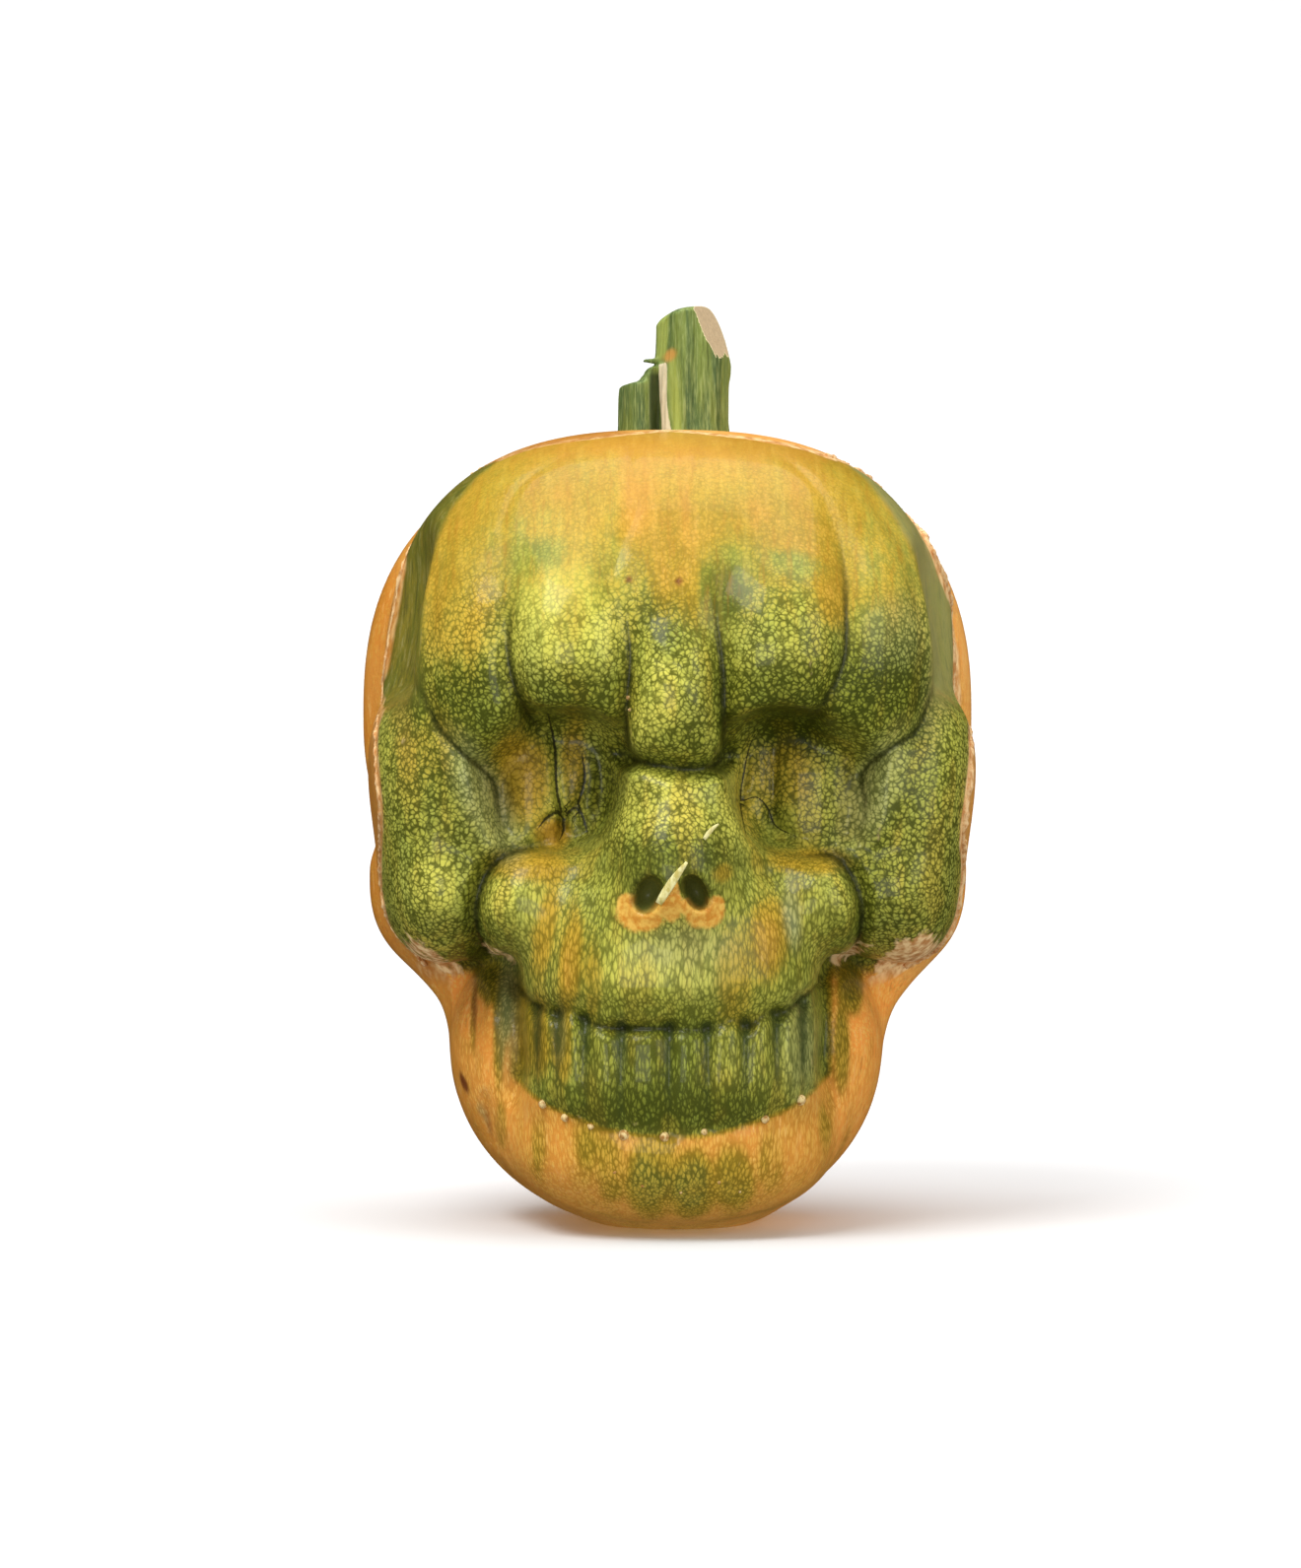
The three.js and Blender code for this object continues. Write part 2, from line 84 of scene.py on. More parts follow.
FACE = [
    ("cut", (-95, -34, 186), (23, 36, 42), 8, 14, 2.4, 4),
    ("cut", (99, -34, 186), (23, 36, 42), -8, -14, 2.4, 4),
    ("cut", (-30, -96, 137.5), (16.5, 43, 19), 0, 0, 2.8, 3),
    ("cut", (31.5, -96, 137.5), (15.5, 43, 19), 0, 0, 2.8, 3),
    ("join", (-59, -36, 151), (12, 27, 18), 24, 0, 2, 9),
    ("join", (62, -36, 151), (12, 27, 18), -24, 0, 2, 9),
    ("cut", (-60, -58, 84), (14, 22, 9), 0, -20, 2, 6),
    ("cut", (62, -58, 84), (14, 22, 9), 0, 20, 2, 6),
    ("join", (-69, -22, 121), (19, 42, 40), -8, 7, 3.0, 6),
    ("join", (-62.5, -26, 127), (14.5, 37, 19), 10, 3, 2.6, 8),
    ("join", (-53, -36, 99), (8, 27, 15), 0, 0, 2.2, 3),
    ("join", (-69.5, -24, 104), (14.5, 42, 18), 0, 7, 2.5, 5),
    ("join", (71, -22, 121), (18.5, 42, 40), 8, -7, 3.0, 6),
    ("join", (66.5, -26, 127), (14.5, 37, 19), -10, -3, 2.6, 8),
    ("join", (54.5, -36, 99), (8, 27, 15), 0, 0, 2.2, 3),
    ("join", (70.5, -24, 104), (14.5, 42, 18), 0, -7, 2.5, 5),
    ("join", (-40, -40, 132), (12.5, 20, 24), 0, 8, 2.8, 4),
    ("join", (-25.5, -40, 133), (7.5, 18, 22), 0, 0, 2.6, 3),
    ("join", (43.5, -40, 132), (14.5, 20, 24), 0, -8, 2.8, 4),
    ("join", (25, -40, 133), (6, 17, 20), 0, 0, 2.6, 3),
    ("join", (0.5, -38, 30), (47, (46, 30), (25, 16)), 0, 0, 2.3, 12),
    ("join", (0, -38, 56), (46.5, 51, 34), 0, 0, 2.7, 6),
    ("join", (0, -44, 78), (46, (48.5, 40), (16, 44)), 0, 0, 2.4, 4),
    ("join", (-41, -49, 100), (16.5, 29, 16.5), 14, 0, 2.3, 8),
    ("join", (43, -49, 100), (15, 29, 16), -10, 0, 2.3, 8),
    ("join", (1, -58, 122), (12.5, (34, 30), 34), 0, 0, 2.1, 7),
    ("join", (1.5, -60, 108), (19.5, (39, 30), (22, 25)), 0, 0, 2.3, 10),
]
SOCKETS = [
    ("cut", (-35, -92, 133), (23, 43, 23), -6, 0, 2.6, 7),
    ("cut", (40, -92, 133), (23, 43, 23), 6, 0, 2.6, 7),
]
HALVES_BLEND = 2
BROW_BLEND = 16
# the nostrils, and the dip that the stem stands in
DIPS = [
    ("cut", (-6.7, -101, 102.6), (4.3, 14, 6.2), 24, 0, 2.2, 1.2),
    ("cut", (7.2, -101, 103.4), (3.6, 14, 5.8), -28, 0, 2.2, 1.2),
    ("cut", (1.5, 9, 249), (24, 21, 10.5), 0, 0, 2, 6),
]

# Creases pressed into the face: name, half-width, depth, and a run of points seen
# from the front (across, up, share of the full depth).
CREASES = [
    ("brow", 8, 3.6, [(-42.5, 205, 0), (-44.6, 188.9, .25), (-46.3, 177.7, .7), (-45.5, 166.5, 1),
                      (-41.8, 155.8, 1), (-37, 149, .3)]),
    ("brow", 8, 4.0, [(-17.5, 194, 0), (-13.6, 185, .25), (-11.6, 172, .8), (-12.1, 160.8, 1),
                      (-12.6, 152.4, 1), (-12, 142, .5)]),
    ("brow", 8, 4.0, [(11.5, 198, 0), (12.1, 188.9, .3), (13.5, 177.6, .75), (14.9, 166.4, 1),
                      (15.1, 155.2, 1), (15.7, 142, .5)]),
    ("brow", 7, 2.6, [(44.7, 222.8, 0), (49.5, 200.3, .5), (50.3, 183.4, .8), (49.5, 169.4, 1),
                      (44, 158, .8), (40, 150, .2)]),
    ("crown line", 2.6, 0.6, [(-9, 236, .3), (-12.5, 226, 1), (-10, 214, .8), (-14, 203, 1), (-17, 194, 1)]),
    ("crown line", 2.4, 0.5, [(9, 235, .3), (5, 224, 1), (7, 212, .7), (4, 204, .2)]),
    ("crown line", 2.4, 0.5, [(30, 232, .3), (38, 226, .9), (44, 218, .8), (47, 205, .7)]),
    ("crown line", 2.4, 0.4, [(-30, 231, .3), (-44, 221, .8), (-49, 208, .6)]),
    ("glabella line", 4, 0.7, [(-8, 172, .2), (-2, 169, .8), (6, 163, 1), (12, 158, .5)]),
    ("nose root", 6, 5, [(-18, 146, 0), (-11.5, 141.8, .8), (-5.3, 140.1, 1), (3.1, 138.7, 1),
                         (10.9, 139.2, 1), (15.7, 141.8, .8), (21, 146, 0)]),
    ("socket side", 7, 2.6, [(-80, 170, 0), (-72, 160, .5), (-66.9, 150.6, 1), (-59.8, 142.9, 1),
                            (-52, 135.7, .8), (-50, 127, .6), (-48, 118, .3)]),
    ("socket side", 7, 2.6, [(84, 172, 0), (77, 162, .5), (71.8, 150, 1), (63.2, 144.3, 1),
                            (56, 137, .8), (57, 127, .6), (54.8, 118.5, .3)]),
    ("cheek", 5.5, 4, [(-27, 116, 0), (-34, 115.5, .3), (-38.2, 116.3, .5), (-48.2, 113.4, .9),
                      (-53.9, 107.2, 1), (-56.5, 98.6, 1), (-55.9, 90, 1), (-53.4, 80, .6)]),
    ("cheek", 5.5, 4, [(30, 114, 0), (38, 113.5, .4), (47.4, 113.4, .8), (52.2, 108.6, 1),
                      (55.1, 101.5, 1), (55.7, 92.9, 1), (53.9, 80, .6)]),
    ("gum", 4, 3.0, [(-50, 79, .3), (-43.3, 72.4, .6), (-34.6, 68.4, .5), (-29, 69.8, .4),
                   (-24.5, 66.7, .6), (-17, 64.5, .9), (-9, 64.5, 1), (-1.4, 64.5, .7), (10.4, 64.2, .6),
                   (18, 67, .5), (22.5, 64.8, .7), (27, 68.4, .5), (32.9, 68.7, .7), (39.9, 73.2, .7),
                   (48, 79, .3)]),
    ("lower gum", 5, 0.7, [(-48, 50, .4), (-36.7, 42, 1), (-30.2, 38.4, 1), (-22.8, 36.1, 1),
                           (-13.3, 33.8, 1), (-1.7, 33.3, 1), (9.6, 34.7, 1), (27.1, 38.1, 1),
                           (37.5, 43.1, 1), (49, 50, .4)]),
    ("mouth corner", 8, 4, [(-50, 86, 0), (-46.2, 79.8, .8), (-44.8, 64, 1), (-43.4, 52.5, 1),
                            (-45.1, 43.9, .6), (-47, 38, 0)]),
    ("mouth corner", 8, 4, [(50, 86, 0), (45.5, 78.3, .8), (45.7, 64, 1), (45.1, 52.5, 1),
                            (47.7, 43.9, .6), (49, 38, 0)]),
    ("jaw fold", 5, 2, [(-61, 80, 0), (-58.4, 74, .8), (-57.4, 66, 1), (-58.6, 58, .6), (-58, 50, 0)]),
    ("jaw fold", 6, 1.5, [(-52, 84, 0), (-50.5, 74, .8), (-50, 62, 1), (-51, 50, .6), (-50, 42, 0)]),
    ("jaw fold", 6, 1.8, [(56, 84, 0), (54.5, 74, .8), (53, 62, 1), (54, 50, .6), (53, 40, 0)]),
    ("jaw fold", 5, 1.6, [(-56, 44, 0), (-54.3, 40, .8), (-53.1, 30, .8), (-50, 24, 0)]),
    ("face edge", 4, 0.8, [(-60, 222, 0), (-67, 199, .8), (-69.2, 176.7, 1), (-68.4, 160.3, 1),
                            (-64.3, 149.9, .3)]),
    ("face edge", 4, 0.8, [(57, 222, .3), (69.8, 198.6, 1), (72.6, 176.7, 1), (73.2, 163, 1),
                            (68.5, 149.3, .3)]),
    # cracks in the socket floors
    ("crack", 2.2, 1.8, [(-35.4, 154.4, .6), (-33.6, 144.4, 1), (-33.1, 132.9, 1), (-31.1, 122.8, 1),
                         (-31.9, 118.5, .3)]),
    ("crack", 2.0, 1.6, [(-25.6, 142.9, .3), (-25, 135.8, 1), (-27, 128.6, 1), (-29.6, 126.2, 1),
                         (-31.6, 122.5, .5)]),
    ("crack", 2.0, 1.4, [(-27, 128.6, 1), (-25.4, 124.5, 1), (-24, 119.9, .3)]),
    ("crack", 2.2, 1.4, [(-38.5, 121.5, .2), (-36, 124.4, 1), (-33, 126, .9), (-31.4, 124, .4)]),
    ("crack", 3.0, 2.2, [(27, 152, .1), (23.5, 146, .4), (21.5, 137, .6), (20.5, 129, .6), (22, 119, .2)]),
    ("crack", 2.4, 1.4, [(20.5, 129, .4), (25, 130.5, .5), (28.5, 127.5, .5), (31, 122, .5),
                         (37, 119, .2)]),
]
# (across, top, bottom) of each gap between two teeth
TOOTH_GAPS = [(-38.5, 67, 44), (-32.3, 66, 40), (-24.5, 65, 37), (-14.1, 63, 35), (-0.6, 63, 33.5),
              (10.4, 63, 34.5), (21.4, 64, 36), (30.4, 66, 39), (38.5, 69, 44)]
CREASES += [("tooth gap", 4.5, 3.0, [(x, top + 2, 1), (x, 56, .7), (x, low + 2, .4)])
            for x, top, low in TOOTH_GAPS]
# the creases that the skin folds into
FOLDS = ("brow", "nose root", "socket side", "cheek", "gum")
# creases start ahead of here, and reach their full depth this much further on
CREASE_BACK = -20
CREASE_FADE = 15
# what rounds the bottom of a crease: a square added to its width, and a width taken off
CREASE_ROUNDING = (0.12, 0.3)
# the faint grooves down the back of the head
RIB_COUNT = 5
RIB_DEPTH = 2.0


def join(a, b, blend):
    """The two shapes as one, with a fillet of that width."""
    h = np.maximum(blend - np.abs(a - b), 0)
    return np.minimum(a, b) - h * h / (4 * blend)


def cut(a, b, blend):
    """The first shape less the second, with an edge rounded over that width."""
    h = np.maximum(blend - np.abs(a + b), 0)
    return np.maximum(a, -b) + h * h / (4 * blend)


def both(size):
    """A half-size as a pair, one for each way."""
    return size if isinstance(size, tuple) else (size, size)


def outside(p, mass):
    """About how far points are outside a mass, negative inside."""
    _, centre, sizes, lean, turn, power, _ = mass
    x, y, z = p[0] - centre[0], p[1] - centre[1], p[2] - centre[2]
    if lean:
        c, s = math.cos(math.radians(lean)), math.sin(math.radians(lean))
        x, z = x * c - z * s, x * s + z * c
    if turn:
        c, s = math.cos(math.radians(turn)), math.sin(math.radians(turn))
        x, y = x * c + y * s, y * c - x * s
    (front, back), (low, high) = both(sizes[1]), both(sizes[2])
    rx = sizes[0]
    ry = front if front == back else np.where(y < 0, front, back).astype(p.dtype)
    rz = low if low == high else np.where(z < 0, low, high).astype(p.dtype)
    u, v, w = np.abs(x) / rx, np.abs(y) / ry, np.abs(z) / rz
    if power == 2:
        reach = np.sqrt(u * u + v * v + w * w) + 1e-6
        steep = np.sqrt((u / rx) ** 2 + (v / ry) ** 2 + (w / rz) ** 2) / reach + 1e-9
        return (reach - 1) / steep
    q = power - 1
    uq, vq, wq = u ** q, v ** q, w ** q
    reach = (uq * u + vq * v + wq * w) ** (1 / power) + 1e-6
    steep = reach ** -q * np.sqrt((uq / rx) ** 2 + (vq / ry) ** 2 + (wq / rz) ** 2) + 1e-9
    return (reach - 1) / steep


def shape(p, masses, value=None):
    """Masses joined and cut in order, starting from a value or from the first of them."""
    for mass in masses:
        way, blend, other = mass[0], mass[6], outside(p, mass)
        if value is None:
            value = other
        else:
            value = (join if way == "join" else cut)(value, other, blend)
    return value


def smooth_run(points, per=5):
    """A smooth line through the points."""
    p = np.array(points, float)
    if len(p) < 3:
        return p
    ends = np.vstack([2 * p[0] - p[1], p, 2 * p[-1] - p[-2]])
    run = []
    for a, b, c, d in zip(ends[:-3], ends[1:-2], ends[2:-1], ends[3:]):
        t = np.linspace(0, 1, per, endpoint=False)[:, None]
        run.append(b + 0.5 * t * (c - a + t * (2 * a - 5 * b + 4 * c - d + t * (3 * b - a - 3 * c + d))))
    return np.vstack(run + [p[-1:]])


CREASE_RUNS = [(name, width, depth, smooth_run(points)) for name, width, depth, points in CREASES]


def beside_line(x, z, a, b):
    """Share of the way from a to b of the nearest place on that line, and the distance to it."""
    dx, dz = b[0] - a[0], b[1] - a[1]
    t = np.clip(((x - a[0]) * dx + (z - a[1]) * dz) / (dx * dx + dz * dz + 1e-9), 0, 1)
    return t, np.hypot(x - a[0] - t * dx, z - a[1] - t * dz)


def near_run(x, z, run, reach):
    """Distance from a run, seen from the front, and the run's share there."""
    nearest, share = np.full(x.shape, reach, x.dtype), np.zeros_like(x)
    for a, b in zip(run[:-1], run[1:]):
        t, away = beside_line(x, z, a, b)
        closer = away < nearest
        nearest = np.where(closer, away, nearest)
        share = np.where(closer, a[2] + t * (b[2] - a[2]), share)
    return nearest, share


def ease(v):
    """0 to 1, with a soft start and end."""
    v = np.clip(v, 0, 1)
    return v * v * (3 - 2 * v)


def pressed_in(p, only=None):
    """How deep the creases, or only those of some names, are pressed in."""
    added, taken = CREASE_ROUNDING
    total = np.zeros_like(p[0])
    for name, width, depth, run in CREASE_RUNS:
        if only and name not in only:
            continue
        low, high = run.min(0) - width, run.max(0) + width
        here = ((p[0] > low[0]) & (p[0] < high[0]) & (p[2] > low[1]) & (p[2] < high[1])
                & (p[1] < CREASE_BACK))
        if not here.any():
            continue
        nearest, share = near_run(p[0][here], p[2][here], run, width)
        nearest = np.sqrt(nearest ** 2 + added) - taken
        total[here] += depth * share * np.clip(1 - nearest / width, 0, 1) ** 2
    return total * ease((CREASE_BACK - p[1]) / CREASE_FADE)


def ribs(p, depth):
    """The grooves down the back, which fade towards the face, the crown and the foot."""
    x, y, z = p
    groove = (1 - np.abs(np.cos(RIB_COUNT * np.arctan2(x, y - HEART[1])))) ** 2
    return depth * groove * (ease((y - 12) / 40) * ease((235 - z) / 60) * ease((z - 10) / 60))


def plain_skin(p):
    """The fruit before the mould presses its face."""
    return join(shape(p, FRONT_HALF), shape(p, BACK_HALF), HALVES_BLEND)


def skin(p, pressed=1.0, rib_depth=RIB_DEPTH):
    """About how far points are outside the skin, with a share of the mould's pressing."""
    plain = plain_skin(p)
    if pressed <= 0:
        return plain
    full = shape(p, SOCKETS, plain)
    full = join(full, shape(p, BROW), BROW_BLEND)
    full = shape(p, FACE, full) + pressed_in(p) + ribs(p, rib_depth)
    full = shape(p, DIPS, full)
    return plain + (full - plain) * pressed


# --- the skin's mesh

# the first mesh is an even ball, with each of its 20 faces cut into this many rows
BALL_DETAIL = 24
# the first skin is looked for out to here, halving the gap this often
FARTHEST = 260.0
HALVINGS = 26
# rounds in all on the first mesh, those in which the mould presses in, and those on each finer mesh
PRESS_ROUNDS = 90
GROW_ROUNDS = 50
FINER_ROUNDS = (8, 5)
UNFOLD_ROUNDS = 24
LARGEST_STEP = 4.0
# how far apart the skin's slope is measured, on the first mesh and on the finer ones
SLOPE_GAP, FINER_GAP = 0.3, 0.12
# how much of the way points slide, and how much denser the ball's points are towards the face
SLIDE = 0.6
FACE_CROWDING = 0.36
# a face is folded when it agrees less than this with the skin's slope
FOLDED = 0.45
# where the mesh is finer: centre (across, up), half-sizes, how much finer
CROWDED = [((-33, 134), (22, 22), 1.2), ((38, 134), (22, 22), 1), ((1, 103), (16, 10), 1),
           ((0, 66), (45, 6), .6), ((0, 141), (20, 6), .6), ((-13, 165), (6, 25), .5),
           ((14, 165), (6, 25), .5), ((-45, 170), (6, 20), .5)]


def geodesic_ball(detail):
    """Corners and triangles of an even ball of radius 1."""
    g = (1 + 5 ** 0.5) / 2
    corners = np.array([(-1, g, 0), (1, g, 0), (-1, -g, 0), (1, -g, 0), (0, -1, g), (0, 1, g),
                        (0, -1, -g), (0, 1, -g), (g, 0, -1), (g, 0, 1), (-g, 0, -1), (-g, 0, 1)])
    faces = [(0, 11, 5), (0, 5, 1), (0, 1, 7), (0, 7, 10), (0, 10, 11), (1, 5, 9), (5, 11, 4),
             (11, 10, 2), (10, 7, 6), (7, 1, 8), (3, 9, 4), (3, 4, 2), (3, 2, 6), (3, 6, 8),
             (3, 8, 9), (4, 9, 5), (2, 4, 11), (6, 2, 10), (8, 6, 7), (9, 8, 1)]
    places, triangles, count = [], [], 0
    for face in faces:
        a, b, c = corners[list(face)]
        index = {}
        for i in range(detail + 1):
            for j in range(detail + 1 - i):
                index[i, j] = count
                places.append(a + (b - a) * i / detail + (c - a) * j / detail)
                count += 1
        for i in range(detail):
            for j in range(detail - i):
                triangles.append((index[i, j], index[i + 1, j], index[i, j + 1]))
                if i + j < detail - 1:
                    triangles.append((index[i + 1, j], index[i + 1, j + 1], index[i, j + 1]))
    places = np.array(places)
    places /= np.linalg.norm(places, axis=1)[:, None]
    _, first, same = np.unique(np.round(places, 6), axis=0, return_index=True, return_inverse=True)
    return places[first], same.reshape(-1)[np.array(triangles)]


def edges_of(triangles):
    """Each edge once, and which of them each triangle's sides are."""
    pairs = np.sort(np.vstack([triangles[:, [0, 1]], triangles[:, [1, 2]], triangles[:, [2, 0]]]), axis=1)
    return np.unique(pairs, axis=0, return_inverse=True)


def divided(points, triangles):
    """Each triangle in four."""
    edges, which = edges_of(triangles)
    middle = (points[edges[:, 0]] + points[edges[:, 1]]) / 2
    ab, bc, ca = which.reshape(3, -1) + len(points)
    a, b, c = triangles.T
    four = [np.stack(t, 1) for t in ((a, ab, ca), (ab, b, bc), (ca, bc, c), (ab, bc, ca))]
    return np.vstack([points, middle]), np.vstack(four)


def steepness(points, value, level, step):
    """The way out of the skin at each point."""
    slope = np.empty_like(points)
    for axis in range(3):
        moved = points.copy()
        moved[:, axis] += step
        slope[:, axis] = (level(moved.T) - value) / step
    return slope / (np.linalg.norm(slope, axis=1)[:, None] + 1e-9)


def off_centre(x, z, centre, half, tilt=0):
    """How far points are from an ellipse's centre, seen from the front: 1 at its edge."""
    c, s = math.cos(math.radians(tilt)), math.sin(math.radians(tilt))
    dx, dz = x - centre[0], z - centre[1]
    return np.hypot((dx * c - dz * s) / half[0], (dx * s + dz * c) / half[1])


def crowding(points):
    """How much finer the mesh is wanted, about the sockets, nose and creases."""
    x, y, z = points.T
    face = ease((-30 - y) / 30)
    wanted = 1 + 0.3 * face
    for centre, half, extra in CROWDED:
        wanted = wanted + extra * face * ease(1.3 - off_centre(x, z, centre, half))
    return wanted


def slid(points, edges, slope):
    """Points slide along the skin towards long edges, and towards where a finer mesh is wanted."""
    a, b = edges.T
    way = points[b] - points[a]
    pull = (way ** 2).sum(1) * crowding((points[a] + points[b]) / 2)
    total = np.bincount(a, pull, len(points)) + np.bincount(b, pull, len(points))
    move = np.stack([np.bincount(a, pull * way[:, k], len(points))
                     - np.bincount(b, pull * way[:, k], len(points)) for k in range(3)], 1)
    move /= total[:, None] + 1e-9
    move -= (move * slope).sum(1)[:, None] * slope
    return points + SLIDE * move


def drawn_to(points, level, gap, most=LARGEST_STEP):
    """Points moved towards the skin by one step, and the way out of the skin there."""
    value = level(points.T)
    slope = steepness(points, value, level, gap)
    return points - np.clip(value, -most, most)[:, None] * slope, slope


def settle(points, edges, level, rounds, gap):
    """Points spread over the skin in rounds, and left on it."""
    for _ in range(rounds):
        points, slope = drawn_to(points, level, gap)
        points = slid(points, edges, slope)
    for _ in range(2):
        points, _ = drawn_to(points, level, gap)
    return points


def unfolded(points, triangles, edges, level):
    """Corners of faces that fold over or stand on edge are drawn to the middle of their neighbours."""
    slope = steepness(points, level(points.T), level, FINER_GAP)
    a, b = edges.T
    count = np.bincount(a, minlength=len(points)) + np.bincount(b, minlength=len(points))
    for _ in range(UNFOLD_ROUNDS):
        one, two, three = points[triangles].transpose(1, 0, 2)
        facing = np.cross(two - one, three - one)
        facing /= np.linalg.norm(facing, axis=1)[:, None] + 1e-12
        out = slope[triangles].sum(1)
        out /= np.linalg.norm(out, axis=1)[:, None] + 1e-12
        moved = np.unique(triangles[(facing * out).sum(1) < FOLDED])
        if not len(moved):
            break
        middle = np.stack([np.bincount(a, points[b, k], len(points))
                           + np.bincount(b, points[a, k], len(points)) for k in range(3)], 1)
        points[moved], slope[moved] = drawn_to(middle[moved] / count[moved, None], level, FINER_GAP, 1)
    return points


def grown_skin(rib_depth):
    """The whole skin: a ball grown into the plain fruit, then pressed by the mould."""
    def pressed_skin(p, share=1.0):
        return skin(p, share, rib_depth)

    ways, triangles = geodesic_ball(BALL_DETAIL)
    ways = ways - np.array([0, FACE_CROWDING, 0])
    ways /= np.linalg.norm(ways, axis=1)[:, None]
    heart = np.array(HEART)
    near, far = np.zeros(len(ways)), np.full(len(ways), FARTHEST)
    for _ in range(HALVINGS):
        middle = (near + far) / 2
        inside = plain_skin((heart + ways * middle[:, None]).T) < 0
        near, far = np.where(inside, middle, near), np.where(inside, far, middle)
    points = heart + ways * near[:, None]
    edges, _ = edges_of(triangles)
    for turn in range(GROW_ROUNDS):
        share = (turn + 1) / GROW_ROUNDS
        points, slope = drawn_to(points, lambda p: pressed_skin(p, share), SLOPE_GAP)
        points = slid(points, edges, slope)
    points = settle(points, edges, pressed_skin, PRESS_ROUNDS - GROW_ROUNDS, SLOPE_GAP)
    for rounds in FINER_ROUNDS:
        points, triangles = divided(points, triangles)
        edges, _ = edges_of(triangles)
        points = settle(points, edges, pressed_skin, rounds, FINER_GAP)
    a, b, c = points[triangles].transpose(1, 0, 2)
    if np.einsum("ij,ij->", np.cross(a, b), c) < 0:
        triangles = triangles[:, ::-1]
    return unfolded(points, triangles, edges, pressed_skin), triangles


# --- where the skin's colours go

# the skin rubbed bare around the nostrils: centre (across, up) and half-sizes
BARE_PATCH = [((-8.5, 97.4), (6.8, 5.2)), ((-12.5, 99.8), (2.8, 3.4)), ((0.3, 100), (3.0, 4.8)),
              ((9.6, 97.6), (5.6, 4.4)), ((13, 99.6), (2.6, 3.2)), ((1.0, 104), (1.4, 3.6)),
              ((5, 99.5), (3, 2.6))]
